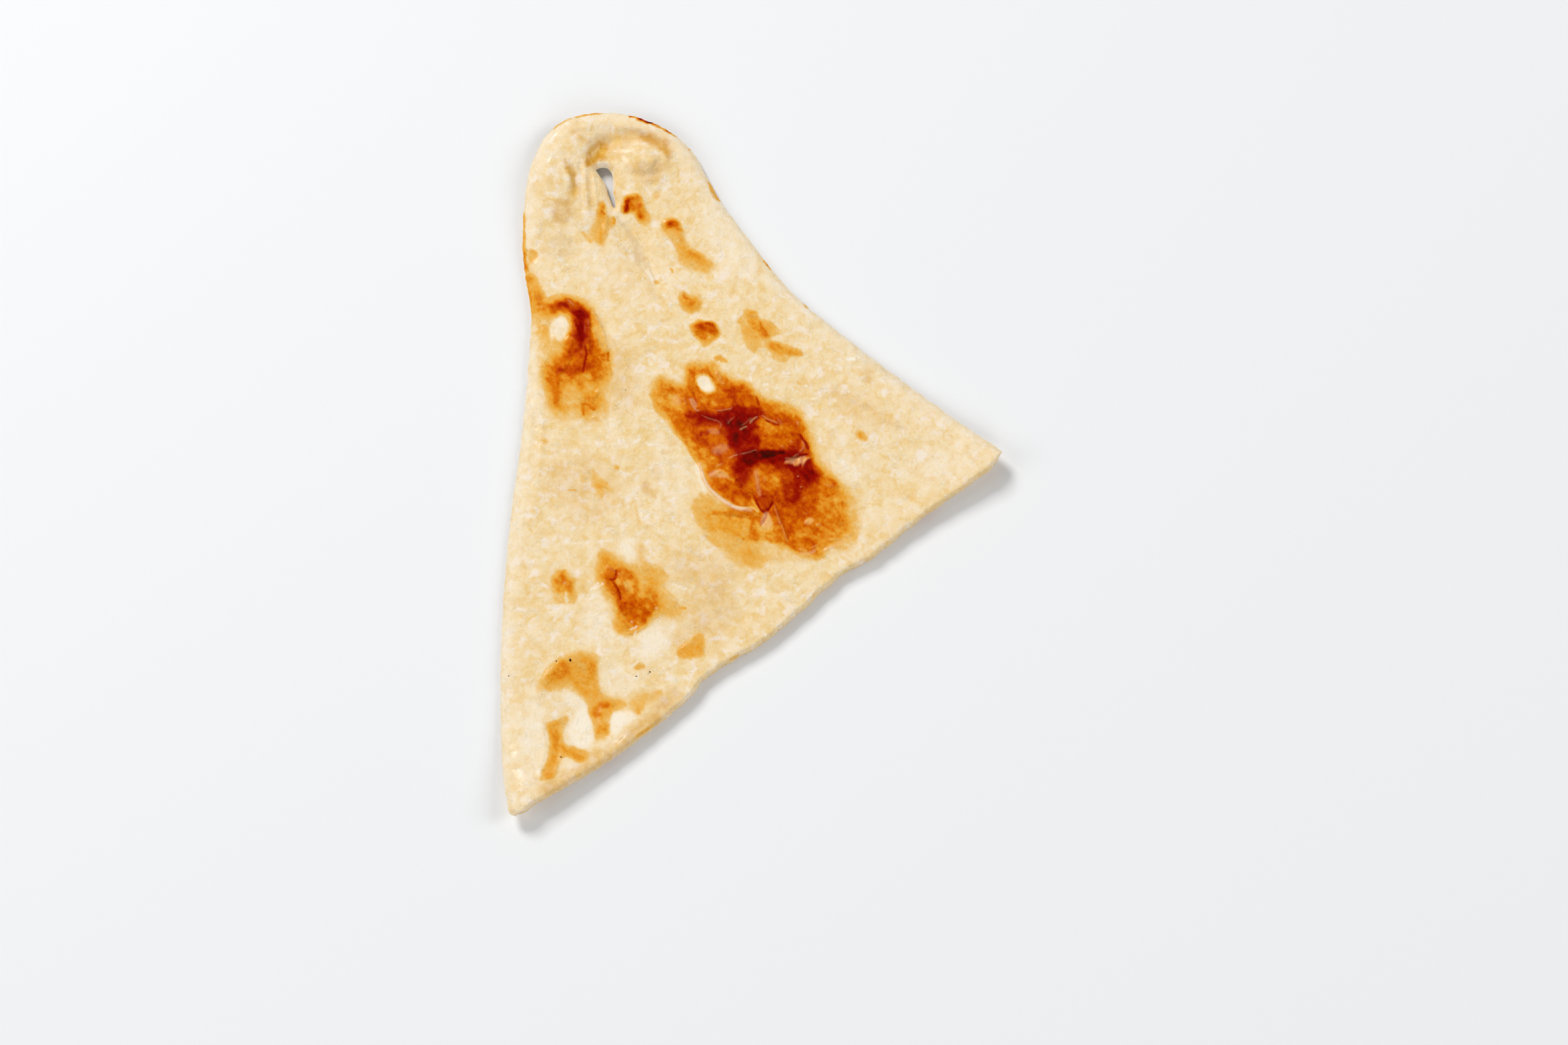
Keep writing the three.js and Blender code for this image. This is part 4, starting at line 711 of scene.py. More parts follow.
# dough left pale, dry and floury, and a painted highlight on the slot's lip
paleDoughAndHighlights = [
    area(0.5, 4, [(-18, 80), (-6, 78), (2, 64), (-2, 55), (-12, 64)]),
    area(0.35, 5, [(-54, 66), (-44, 66), (-40, 56), (-52, 54)]),
    area(0.7, 1.2, [(-17.6, 23), (-14.4, 24), (-12.2, 21), (-12.4, 19), (-14.4, 18.4), (-17, 20.5)]),
    area(0.6, 1.2, [(-61.6, 41.6), (-59, 43.6), (-56.6, 42.5), (-56.6, 38.6), (-58.8, 35.4), (-62, 38.6)]),
    area(0.9, 1.6, [(-56, -76), (-52, -76.4), (-48.8, -78.6), (-47.6, -83), (-47, -91), (-50, -92),
        (-53, -90.6), (-54, -86), (-52.6, -81.6)]),
    area(0.9, 1.2, [(-41.6, -81.6), (-37, -81.4), (-34.8, -83.6), (-38, -85.4), (-40.4, -88.4), (-42, -86)]),
    area(0.7, 1.4, [(-54.5, -96), (-51.5, -97), (-54, -99)]),
    area(0.6, 3.5, [(-66, -76), (-62, -77), (-61.6, -96), (-64, -104), (-69, -100)]),
    area(0.4, 3, [(-44, -67), (-40, -67), (-36, -70), (-34, -74), (-42, -76), (-45, -71)]),
    area(0.5, 3, [(-50, -46), (-46, -46), (-42, -52), (-41, -60), (-46, -62), (-51, -56)]),
    area(0.75, 3, [(-34, -58), (-28, -54), (-24, -56), (-27, -64), (-33, -65)]),
    area(0.7, 2.4, [(-40, -28), (-35.6, -28), (-35.4, -33.6), (-38, -35)]),
    area(0.25, 4, [(-24, 8), (-27, 4), (-24, -4), (-19, -12), (-23, -18), (-30, -8), (-30, 4)]),
    area(0.45, 4, [(20, -4), (27, -2), (33, -6), (30, -10), (23, -8)]),
    area(0.4, 4, [(45, -2), (60, 2), (66, -4), (52, -12)]),
    line(0.9, (0.5, 0.4), 0.9, [(-33.4, 59), (-32, 56.5), (-30.3, 53.8)]),
    # painted highlight on the slot's lip
    line(1.0, 0.5, 0.8, [(-49.5, 92.6), (-47, 94.3), (-44.6, 93)]),
    line(0.7, 0.8, 1.0, [(-17, -4), (-16.4, -8), (-15, -12), (-11, -15.4)]),
    line(0.9, 0.6, 0.8, [(-16.2, -4), (-14.6, -10), (-11.6, -14), (-6, -18), (0, -18.6)]),
    area(0.4, 2.5, [(31, 31.5), (25, 30), (24, 27.5), (31, 28)]),
]
# raw, greyish-pink dough where the crumb shows through; the greyer patch under the bubble in the tip is
# painted shade
rawDoughAndShade = [
    spot(0.55, 5, (-60, 66), (5, 4.5)),
    # painted shade on the lower side of the bubble in the tip
    spot(0.25, 3, (-33, 91), (4.5, 2.4), -8),
    area(0.95, 0.9, [(-42.4, 76.4), (-40.6, 75), (-37, 70), (-34.4, 66), (-32.6, 61), (-32.6, 57.6),
        (-34.4, 57.4), (-36.6, 61), (-37.6, 66), (-39.4, 70.6), (-42, 74)]),
    line(0.5, 1.2, 3, [(-33, 57), (-31, 50)]),
    spot(0.75, 1.4, (-48.4, 10.4), (1.8, 1.4)),
    spot(0.4, 1.2, (-59.4, 39.4), (1.8, 2.6)),
    area(0.35, 3, [(36, 29), (50, 17), (54, 14.5), (45, 20), (36, 26)]),
    area(0.3, 4, [(-18, -48), (-10, -44), (-4, -50), (-12, -54)]),
]


# relief of the skin, in millimetres
def fold(height, wide, points):
    return {"line": curveThrough(points), "height": height, "wide": wide, "layer": False}


def layerEdge(height, reach, points):
    # the skin on the left of the line stands "height" above the skin on its right
    return {"line": curveThrough(points), "height": height, "wide": reach, "layer": True}


def press(relief, folds, x, y):
    for mark in folds:
        path = mark["line"]
        reach = mark["wide"]
        near = closeTo(x, y, path, reach)
        away, share, side = alongLine(x[near], y[near], path)
        ends = np.clip(np.minimum(share, 1 - share) * 5, 0, 1) ** 0.5
        fall = np.clip(1 - (away / reach) ** 2, 0, 1) ** 2
        if mark["layer"]:
            fall = np.clip(1 - away / reach, 0, 1) ** 1.5 * np.clip(0.5 + side * away / 0.35, 0, 1)
        relief[near] += mark["height"] * ends * fall
    return relief


skinFolds = {}
skinFolds["middle blister"] = [
    layerEdge(0.9, 5, [(17.5, -0.6), (13, -1.4), (10, -1.4), (5, -0.2), (0, -0.4), (-4, -1.8), (-8, -2.7)]),
    layerEdge(0.7, 4, [(2.2, -19.6), (-2, -18.1), (-6, -17.5), (-9.4, -15), (-13.2, -12), (-15, -8),
        (-16.2, -4)]),
    fold(-0.45, 1, [(-6.5, -8.4), (-3.4, -12.2), (-0.4, -16.4)]),
    fold(0.5, 1, [(-1.4, -11.4), (0.2, -15), (2, -19)]),
    fold(-0.4, 0.8, [(-8, -20.8), (-3, -21.4), (2, -22.4)]),
    fold(0.3, 0.6, [(-24, 10), (-21, 4), (-19, 1)]),
    fold(0.3, 2.6, [(-18, 21.6), (-15, 24.6), (-12, 21.4), (-14.6, 18.2), (-18, 20.6)]),
]
skinFolds["long side blister"] = [
    layerEdge(0.6, 3, [(-44.4, 31), (-46, 38.6), (-49.6, 45), (-54, 48.2), (-58, 49), (-62, 47.4)]),
    fold(0.5, 1, [(-56, 43.6), (-54.4, 38), (-56.4, 33), (-58, 28), (-60, 22)]),
    fold(-0.5, 1.1, [(-52.6, 44), (-52, 38), (-53, 31)]),
    fold(0.45, 0.8, [(-50.6, 42), (-50.4, 37), (-51, 31), (-51.8, 26)]),
    fold(0.45, 0.7, [(-49.4, 38.4), (-47, 33.6), (-44.4, 31)]),
    fold(0.4, 0.8, [(-55, 34), (-56.4, 29), (-58.6, 25)]),
    fold(0.3, 0.7, [(-49.8, 20), (-49, 16), (-49.6, 11)]),
    fold(0.35, 0.7, [(-46.6, 20), (-49, 16)]),
    fold(0.4, 0.9, [(-68.6, 55), (-66.8, 51), (-65.4, 47.2)]),
    fold(0.35, 0.9, [(-50, 10), (-47, 10.6), (-44.8, 8.2), (-44, 5.4)]),
    fold(0.5, 2, [(-60.6, 38), (-58, 34.6), (-55.8, 38)]),
]
skinFolds["tip"] = [
    fold(0.5, 1.2, [(-52.8, 96), (-52.4, 86), (-51.4, 77)]),
    fold(0.4, 0.9, [(-50.2, 91), (-49.2, 84), (-48.6, 80)]),
    fold(-0.45, 1.2, [(-54.4, 95), (-53.8, 86), (-53, 78)]),
    fold(-0.6, 1.6, [(-57.6, 94), (-55.8, 90), (-55.6, 83)]),
    fold(0.5, 2.2, [(-60.4, 97), (-58, 92), (-57.4, 86)]),
    fold(-0.7, 3, [(-50.6, 93), (-50, 97), (-46.6, 100.6), (-40, 103), (-33, 102.6), (-26.6, 99)]),
    fold(0.35, 1.8, [(-53.4, 98), (-51.6, 102.6), (-46, 105.6), (-38, 107.2), (-29, 105.4)]),
    fold(0.9, 3.6, [(-36, 97), (-31, 94)]),
    fold(-0.5, 1.8, [(-38, 91.4), (-33, 90.4), (-28.6, 92)]),
    fold(0.3, 1.4, [(-60, 104), (-56, 106.4), (-50, 108)]),
    fold(-0.3, 1.4, [(-62, 101), (-57, 104.6), (-52, 106)]),
    fold(0.25, 1.0, [(-50.4, 93.8), (-47.4, 95), (-44.4, 94)]),
    fold(0.3, 1.0, [(-43, 90), (-42.2, 84), (-42.4, 80)]),
    layerEdge(0.85, 3, [(-30.4, 54), (-32.2, 59), (-33.4, 64), (-36.4, 70), (-41, 76)]),
    fold(0.2, 0.7, [(-33.4, 59), (-32, 56.5), (-30.2, 53.4)]),
    fold(-0.6, 2.2, [(-40, 74.4), (-36, 68), (-33.6, 61)]),
    fold(0.4, 1.2, [(-46, 78), (-46, 74), (-46.6, 69)]),
    fold(0.35, 2, [(-39.6, 82.6), (-37, 83.6), (-34.8, 81.4), (-35, 77)]),
    fold(0.4, 1.6, [(-28.4, 73), (-26, 75), (-23.6, 72.6), (-22.6, 68)]),
    fold(0.3, 1.6, [(-20.4, 65.6), (-15.6, 63), (-12.4, 59)]),
]
skinFolds["middle"] = [
    fold(0.4, 1.5, [(-18.6, 38.6), (-15, 40.6), (-11.4, 38)]),
    fold(-0.25, 0.8, [(-15.4, 36.6), (-14.6, 33.4)]),
    fold(0.35, 1.6, [(-22, 49), (-19, 48), (-17, 46)]),
    fold(0.3, 0.8, [(0.8, 41.4), (2.6, 39), (4.4, 36.6)]),
    fold(0.3, 1.2, [(4.6, 34), (9, 32.4), (13.6, 30.6)]),
    fold(0.25, 1.4, [(-3, 44), (1, 44), (5, 41)]),
    fold(0.3, 0.6, [(26.6, 29.4), (29, 29.8), (31.6, 28.2)]),
    fold(0.3, 0.5, [(21.4, 27), (23.4, 27.6), (24.6, 26)]),
    fold(0.25, 0.5, [(17, 15.8), (19.4, 16)]),
]
skinFolds["small blister"] = [
    fold(0.45, 0.8, [(-46, -36), (-44, -40.6), (-41.6, -42.6), (-39.6, -47.4), (-38, -52)]),
    fold(-0.4, 0.8, [(-42.8, -39.4), (-40.6, -42), (-38.8, -46)]),
    fold(0.35, 0.6, [(-38.8, -40.6), (-37.2, -44.4)]),
    fold(0.35, 0.8, [(-36, -48.6), (-32, -49.6), (-28, -49.4)]),
    fold(0.35, 0.7, [(-33.4, -41.6), (-32, -46), (-33, -48)]),
    fold(0.35, 0.6, [(-37.6, -57.6), (-34, -56.2), (-31.6, -55)]),
    fold(0.3, 0.6, [(-47, -44), (-45, -42.8), (-43.6, -43.6)]),
    fold(0.3, 1.4, [(-59, -41), (-56, -39), (-53.6, -42)]),
    fold(0.25, 0.6, [(-33.8, -19), (-32.8, -24), (-31.6, -28.6)]),
    fold(0.25, 1.0, [(-22, -63), (-17, -58.6)]),
    fold(0.25, 0.5, [(-26, -45), (-22, -46.6), (-18.6, -47.4)]),
]
skinFolds["long side pleats"] = [
    fold(0.3, 1.1, [(-67.6, 20), (-68.4, 5), (-69.4, -12)]),
    fold(-0.25, 1.1, [(-65.6, 18), (-66, 4), (-67, -14)]),
    fold(0.22, 0.9, [(-63.8, 12), (-64, 0), (-65, -10)]),
    fold(-0.2, 0.8, [(-70.8, -6), (-71.6, -20), (-72, -34)]),
    fold(0.22, 0.9, [(-68.4, -8), (-69.6, -24), (-69.8, -38)]),
]
skinFolds["heel"] = [
    layerEdge(0.6, 7, [(-25, -76.4), (-29, -73), (-33, -71), (-38, -69), (-42, -67), (-46, -64.2),
        (-50, -63.2), (-54, -63.7), (-58, -66), (-62, -71), (-63.4, -76)]),
    layerEdge(0.35, 4, [(-60.6, -103), (-57.6, -100), (-56, -97)]),
    fold(0.3, 1, [(-62.4, -82), (-61, -92), (-62.6, -102)]),
    fold(0.3, 1.2, [(-58, -103.5), (-48, -97.5), (-40, -92), (-36, -87)]),
    layerEdge(0.35, 5, [(-36, -87), (-40, -90.4), (-48, -96.5), (-58, -103)]),
    fold(0.25, 0.8, [(-44, -78), (-44.6, -83), (-43.4, -88)]),
    fold(-0.25, 1, [(-57.6, -85), (-57, -92), (-59, -99)]),
]


def ridge(height, gleam, points, wide=0.12):
    # a raised fold of the skin, with a painted highlight along its top
    return fold(height, 0.65, points), line(gleam, wide, 0.4, points)


def crease(depth, level, points, wide=0.3):
    # a sunken fold, with painted shade darkening its foot
    return fold(-depth, 0.8, points), line(level, wide, 0.45, points)


ridges = [
    ridge(0.4, 0.5, [(-12, 12.7), (-10, 12.7), (-8.5, 13), (-7.2, 13.2), (-6.6, 14)]),
    ridge(0.35, 0.35, [(-5.6, 10.9), (-7, 9.8), (-7.7, 8.9), (-7.9, 8.2)], 0.08),
    ridge(0.4, 0.3, [(-0.4, 10.7), (-1.6, 9.7), (-2.6, 8.6), (-4.2, 7.7)], 0.08),
    ridge(0.45, 0.8, [(1.2, 11), (-0.4, 9.8), (-1.4, 8.4)], 0.14),
    ridge(0.45, 0.7, [(-2, 7.6), (-2.8, 7.3), (-3.8, 6.8), (-4.4, 6.4)], 0.14),
    ridge(0.4, 0.6, [(2.2, 11.4), (3, 10.8), (4, 10), (5, 9.6), (6.4, 9), (7.4, 8.6)]),
    ridge(0.35, 0.3, [(7, 10.2), (7.8, 9.3), (8.5, 7.9)]),
    ridge(0.4, 0.6, [(12.8, 9.6), (13.2, 8.6), (13.5, 7.8)]),
    ridge(0.5, 0.3, [(14.4, 3.6), (15, 2), (14.8, 0.8), (13.6, -1)], 0.16),
    ridge(0.45, 0.7, [(-7.8, -2.7), (-6.6, -2), (-4.6, -1.3)]),
    ridge(0.45, 0.4, [(-4.6, -1.3), (-2.2, -0.9), (0, -0.2), (1.2, 0)]),
    ridge(0.4, 0.4, [(9, -2.7), (10.4, -2.8), (11.6, -2.6), (12.8, -1.6), (13.6, -1)]),
    ridge(0.3, 0.35, [(7.6, 1.5), (8.6, 1.3), (9, 0.7)]),
    ridge(0.3, 0.35, [(10.9, 3.3), (11.2, 2.6), (11.8, 2.4)]),
    ridge(0.35, 0.3, [(-16, 11.3), (-13.7, 10.2), (-10.7, 9.2), (-10, 8), (-10.4, 6.7)]),
    ridge(0.3, 0.5, [(-12.3, 7.1), (-10.8, 6.2), (-10.8, 4.6)]),
    ridge(0.35, 0.6, [(13.9, -2.4), (13.6, -4.2), (12.6, -4.8), (11.9, -4.6), (12.4, -3.2)], 0.16),
    ridge(0.35, 0.6, [(17, -2.4), (16, -2.8), (15, -4), (14.4, -5.2)], 0.16),
    ridge(0.3, 0.45, [(9, -4), (11.4, -4)], 0.16),
    ridge(0.3, 0.5, [(-11.6, -5.2), (-10.6, -4.7), (-9.3, -4.2)]),
    ridge(0.45, 0.3, [(-13.4, -9), (-12, -8), (-9.4, -6.8), (-7, -9.2)], 0.3),
    ridge(0.4, 0.45, [(0.5, -7.2), (0.9, -9), (1.1, -11), (1.4, -12.6)], 0.16),
    ridge(0.3, 0.25, [(3, -8.2), (3.2, -10.4)]),
    ridge(0.5, 0.35, [(6, -16.4), (6.4, -18.5), (7, -20.4), (7.6, -22.4), (8.4, -24), (9, -26), (9.7, -28),
        (10.1, -29.4)]),
    ridge(0.1, 0.6, [(7.5, -22.6), (7.9, -23.4)], 0.16),
    ridge(0.35, 0.35, [(-21.4, 17.1), (-21, 16), (-20.3, 14.6)]),
    ridge(0.45, 0.7, [(-19.9, 16.9), (-19.3, 15.9), (-18.6, 14.3), (-17.8, 13.2), (-17.1, 12.6),
        (-16.5, 13.2)], 0.2),
    ridge(0.4, 0.5, [(-11.5, 25.6), (-10.9, 24.5), (-10.3, 23.3), (-10.3, 22.3), (-9.6, 21.3), (-8.5, 21.7)]),
    ridge(0.2, 0.9, [(13.1, -8), (13.3, -8.6)], 0.14),
    ridge(0.2, 0.8, [(14, -11.3), (14.2, -11.9)], 0.14),
    ridge(0.2, 0.9, [(14.9, -14.9), (15.1, -15.4)], 0.14),
    ridge(0.2, 0.9, [(15.5, -19.8), (15.7, -20.2)], 0.14),
    ridge(0.3, 0.7, [(15, -23.4), (16.4, -21.8)]),
    ridge(0.3, 0.7, [(18.4, -24), (19.4, -23.4), (20.2, -23.8)]),
    ridge(0.3, 0.4, [(21.2, -11), (23, -11.4), (24, -11)]),
    ridge(0.3, 0.5, [(13.4, -31.2), (15, -31.4), (16.2, -31.8)]),
    ridge(0.3, 0.5, [(17, -30.8), (18.4, -30.2), (19, -29.8)]),
    ridge(0.3, 0.5, [(21, -32), (22, -31), (24, -30.4), (26, -30.2)]),
    ridge(0.3, 0.35, [(22.4, -28.4), (26, -27.8)]),
    ridge(0.3, 0.35, [(27, -27.4), (30, -26)]),
    ridge(0.4, 0.5, [(-50, 45.4), (-48.6, 43.5), (-47.3, 41), (-46.4, 39.6)]),
    ridge(0.35, 0.4, [(-57.3, 48.7), (-56.2, 47.8), (-55.2, 46.8)], 0.2),
    ridge(0.3, 0.3, [(-48.9, 38.6), (-47.4, 35.4)]),
    ridge(0.3, 0.25, [(-50.7, 42.5), (-50.7, 40.2)]),
    ridge(0.3, 0.3, [(-38.9, -41), (-38, -43), (-37.4, -44.6)]),
    ridge(0.3, 0.3, [(-43.6, -36.4), (-41, -38.4)]),
]
creases = [
    crease(0.4, 0.82, [(0.4, 17.9), (1.1, 15.9), (1.6, 14.3), (2.4, 13.2), (2.9, 12.2)]),
    crease(0.35, 0.86, [(3, 10), (5, 9), (6.4, 8.4), (8, 8.2)]),
    crease(0.45, 0.93, [(13.6, 5.6), (14.2, 4.6), (14.8, 3.4), (15.6, 2.4), (16.2, 1), (16.4, 0)], 0.4),
    # the darkest crease lies under the overhanging fold: painted shadow
    crease(0.6, 1.12, [(1, -0.8), (5, -0.9), (8, -0.9), (9.4, -0.8)], 0.5),
    crease(0.4, 1.05, [(10, -3.1), (12, -2.7), (13.6, -2), (15, -1.4), (16.6, -1.2)], 0.25),
    crease(0.6, 0.97, [(-0.6, -13.4), (0.4, -15.4), (1.4, -17.6), (2.2, -18.8), (3.6, -20), (3.4, -21.5),
        (2.4, -23), (1.8, -23.7)], 0.25),
    crease(0.6, 0.97, [(5.8, -16), (4.8, -17.8), (3.9, -19.2)], 0.4),
    crease(0.4, 0.9, [(-5.6, -9), (-4.4, -10), (-3.4, -12)], 0.4),
    crease(0.35, 0.66, [(-3, -20.2), (-1, -20.6), (0, -21.2), (2.4, -21.6)], 0.25),
    crease(0.5, 0.72, [(6.6, -17), (7.8, -20), (9, -23.5), (10, -26), (10.6, -29)], 0.25),
    crease(0.3, 0.76, [(-18.7, 19.3), (-18.2, 17.7), (-17.7, 15.9), (-17.3, 14.3)], 0.3),
    crease(0.45, 0.95, [(-51.8, 34.8), (-51.1, 30.9), (-51.8, 27), (-52, 24.8)], 0.3),
    crease(0.35, 0.88, [(-43.2, -40.6), (-42, -40.5), (-41.2, -40.1), (-40.9, -38.2), (-41.2, -37.4)], 0.25),
    crease(0.35, 0.88, [(-42, -40.9), (-41.1, -42.2), (-40, -44.1), (-39.5, -46), (-39.4, -47.3)], 0.25),
]
grain = [  # doughy unevenness all over: height, size, seed
    (0.16, 9.0, 3), (0.1, 4.6, 5), (0.05, 2.4, 8),
]


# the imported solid, read for its outline and heights
def readSolid():
    mesh = frame["nodes"]["naan"].data
    mesh.calc_loop_triangles()
    places = np.empty(3 * len(mesh.vertices))
    mesh.vertices.foreach_get("co", places)
    corners = np.empty(3 * len(mesh.loop_triangles), int)
    mesh.loop_triangles.foreach_get("vertices", corners)
    welded, where = np.unique(np.round(1000 * places.reshape(-1, 3), 3), axis=0, return_inverse=True)
    faces = where.ravel()[corners].reshape(-1, 3)
    a, b, c = (welded[faces[:, k]] for k in range(3))
    normal = np.cross(b - a, c - a)
    facesUp = normal[:, 2] > 0.05 * np.linalg.norm(normal, axis=1)
    return welded, faces, facesUp


def ringsRound(faces):
    # the closed edges of a sheet of triangles, longest first
    edges = {(int(f[k]), int(f[(k + 1) % 3])) for f in faces for k in range(3)}
    onward = {a: b for a, b in sorted(edges) if (b, a) not in edges}
    rings = []
    while onward:
        here = min(onward)
        ring = []
        while here in onward:
            ring.append(here)
            here = onward.pop(here)
        rings.append(ring)
    return sorted(rings, key=len, reverse=True)


def evenly(ring, step):
    # the same closed line with a point every "step" millimetres
    closed = np.vstack([ring, ring[:1]])
    run = np.concatenate([[0], np.cumsum(np.hypot(*np.diff(closed, axis=0).T))])
    count = int(round(run[-1] / step))
    at = np.arange(count) * run[-1] / count
    return np.stack([np.interp(at, run, closed[:, k]) for k in (0, 1)], axis=1)


def bell(reach, sigma, step):
    # weights of a soft average over "reach" steps on either side
    weights = np.exp(-0.5 * (np.arange(-reach, reach + 1) * step / sigma) ** 2)
    return weights / weights.sum()


def eased(ring, sigma, step):
    reach = int(4 * sigma / step)
    weights = bell(reach, sigma, step)
    padded = np.vstack([ring[-reach:], ring, ring[:reach]])
    return np.stack([np.convolve(padded[:, k], weights, "valid") for k in (0, 1)], axis=1)


def outward(ring):
    along = np.roll(ring, -1, axis=0) - np.roll(ring, 1, axis=0)
    along /= np.linalg.norm(along, axis=1)[:, None]
    return np.stack([along[:, 1], -along[:, 0]], axis=1)


def treeOf(points):
    tree = KDTree(len(points))
    for k, (x, y) in enumerate(points):
        tree.insert((x, y, 0), k)
    tree.balance()
    return tree


def away(points, path, closed=False):
    # distance from each point to a finely divided line
    tree = treeOf(path)
    near = np.array([tree.find((x, y, 0))[1] for x, y in points])
    best = np.full(len(points), 1e9)
    for start, end in ((near - 1, near), (near, near + 1)):
        if closed:
            start, end = start % len(path), end % len(path)
        else:
            start, end = np.clip(start, 0, len(path) - 1), np.clip(end, 0, len(path) - 1)
        a, d = path[start], path[end] - path[start]
        t = np.clip(((points - a) * d).sum(1) / np.maximum((d * d).sum(1), 1e-9), 0, 1)
        best = np.minimum(best, np.linalg.norm(points - a - t[:, None] * d, axis=1))
    return best


bread = {  # millimetres
    "rimThickness": 1.3,  # the baked rim's own edge
    "rimRun": 6.0,  # how far in the rim rounds up to the full thickness
    "cutThickness": 2.2,
    "cutRun": 0.9,
    "slotShare": 0.2,  # of the full thickness, at the slot's edge
    "slotRun": 2.6,
    "rimWander": 0.22,  # unevenness of the baked edge
    "cutWander": 0.3,
    "slotWander": 0.12,
    "skinGrid": 0.7,
    "foldGrid": 0.46,  # finer round the smaller scorches
    "blisterGrid": 0.32,  # and finest on the creases of the middle blister
    "undersideGrid": 1.7,
    "creaseStep": 0.3,  # along a crease
    "creaseOffsets": (-0.16, 0, 0.16),  # across it
    "creaseApart": 0.13,
    "creaseClear": 0.22,  # kept free of other points
    "ringStep": 0.25,  # along the edges while they are shaped
    "edgeStep": 0.55,
    "edgeRows": 6,
    "rimBulge": 0.42,  # how far the edges stand out at half their height
    "cutBulge": 0.12,
    "slotBulge": 0.15,
    "edgeRoughness": 0.16,
    "edgeUp": 0.35,  # the underside turns up at its edges, this far in
    "edgeUpRun": 1.6,
    "dimples": [(0.25, 9.0, 33), (0.12, 3.5, 34)],  # depth, size, seed
    "reliefRun": 2.5,  # how far in the relief takes to reach its full height
    "heightStep": 0.75,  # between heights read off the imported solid
    "rimUnread": 6.5,  # too near the baked rim for the full thickness
    "edgeUnread": 2,  # the same at the cut and the slot
    "thickSmoothing": 1.9,
    "underSmoothing": 2.2,
    "farSmoothing": 7.0,
    "lift": 0.02,  # a hair above the floor
}

welded, solidFaces, facesUp = readSolid()
rings = [welded[ring][:, :2] for ring in ringsRound(solidFaces[facesUp])]
print("packed solid:", len(welded), "corners,", len(rings), "edges:", [len(r) for r in rings])
ringStep = bread["ringStep"]
edgeRing = evenly(rings[0], ringStep)
wing = int(edgeRing[:, 0].argmax())
edgeRing = np.roll(edgeRing, -wing, axis=0)
heel = int(edgeRing[:, 1].argmin())
soft, crisp = eased(edgeRing, 1.3, ringStep), eased(edgeRing, 0.35, ringStep)
index = np.arange(len(edgeRing))
fromCorner = np.minimum(np.minimum(index, len(index) - index), abs(index - heel)) * ringStep
keep = smoothStep(fromCorner / 5)[:, None]
edgeRing = soft * keep + crisp * (1 - keep)
isCut = index > heel
wander = np.where(isCut,
                  bread["cutWander"] * lumpsOf(*edgeRing.T, [(1, 3.5, 21), (0.6, 1.1, 22)]),
                  bread["rimWander"] * lumpsOf(*edgeRing.T, [(1, 5.0, 23), (0.5, 1.6, 24)]))
edgeRing = edgeRing + outward(edgeRing) * wander[:, None]
every = max(1, round(bread["edgeStep"] / ringStep))
edgeRing, isCut = edgeRing[::every], isCut[::every]
slotRing = evenly(rings[1], ringStep)[::-1]
slotRing = eased(slotRing, 0.5, ringStep)
slotRing = slotRing + outward(slotRing) * bread["slotWander"] * lumps(*slotRing.T, 2.0, 25)[:, None]
slotRing = slotRing[::2]
bakedLine, cutLine = edgeRing[~isCut], np.vstack([edgeRing[isCut], edgeRing[:1]])

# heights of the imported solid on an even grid, smoothed and carried out to the rims
gridStep = bread["heightStep"]
gridX = np.arange(1000 * breadLow.x - 4, 1000 * breadHigh.x + 4, gridStep)
gridY = np.arange(1000 * breadLow.y - 4, 1000 * breadHigh.y + 4, gridStep)
atX, atY = np.meshgrid(gridX, gridY, indexing="ij")
onSolid = insideOf(atX, atY, rings[0]) & ~insideOf(atX, atY, rings[1])
solidTree = BVHTree.FromPolygons(welded.tolist(), solidFaces.tolist())
topSeen, underSeen = np.zeros(atX.shape), np.zeros(atX.shape)
for i, j in zip(*np.nonzero(onSolid)):
    x, y = atX[i, j], atY[i, j]
    above = solidTree.ray_cast((x, y, 50), (0, 0, -1))[0]
    below = solidTree.ray_cast((x, y, -20), (0, 0, 1))[0]
    if above is None or below is None:
        onSolid[i, j] = False
    else:
        topSeen[i, j], underSeen[i, j] = above.z, below.z
gridPoints = np.stack([atX.ravel(), atY.ravel()], axis=1)
farIn = (away(gridPoints, bakedLine) > bread["rimUnread"]) & (away(gridPoints, cutLine) > bread["edgeUnread"])
farIn = (farIn & (away(gridPoints, slotRing, True) > bread["edgeUnread"])).reshape(atX.shape) & onSolid


def spread(heights, known, sigma):
    weights = bell(int(3.5 * sigma / gridStep), sigma, gridStep)

    def blurred(field):
        for axis in (0, 1):
            field = np.apply_along_axis(np.convolve, axis, field, weights, "same")
        return field

    weight = blurred(known.astype(float))
    return blurred(np.where(known, heights, 0)) / np.maximum(weight, 1e-9), weight


def carried(heights, known, sigma):
    # smoothed where the solid is known, and the nearest known heights beyond
    near, weight = spread(heights, known, sigma)
    far, _ = spread(heights, known, bread["farSmoothing"])
    share = smoothStep(weight / 0.3)
    return near * share + far * (1 - share)


thickGrid = carried(topSeen - underSeen, farIn, bread["thickSmoothing"])
underGrid = carried(underSeen, onSolid, bread["underSmoothing"])


def onGrid(field, x, y):
    u = np.clip((x - gridX[0]) / gridStep, 0, len(gridX) - 1.001)
    v = np.clip((y - gridY[0]) / gridStep, 0, len(gridY) - 1.001)
    i, j = u.astype(int), v.astype(int)
    fu, fv = u - i, v - j
    return ((field[i, j] * (1 - fu) + field[i + 1, j] * fu) * (1 - fv)
            + (field[i, j + 1] * (1 - fu) + field[i + 1, j + 1] * fu) * fv)


print("heights read, thickest", round(float(thickGrid[farIn].max()), 2), "mm, area",
      round(float(onSolid.sum() * gridStep**2 / 100), 1), "square cm")


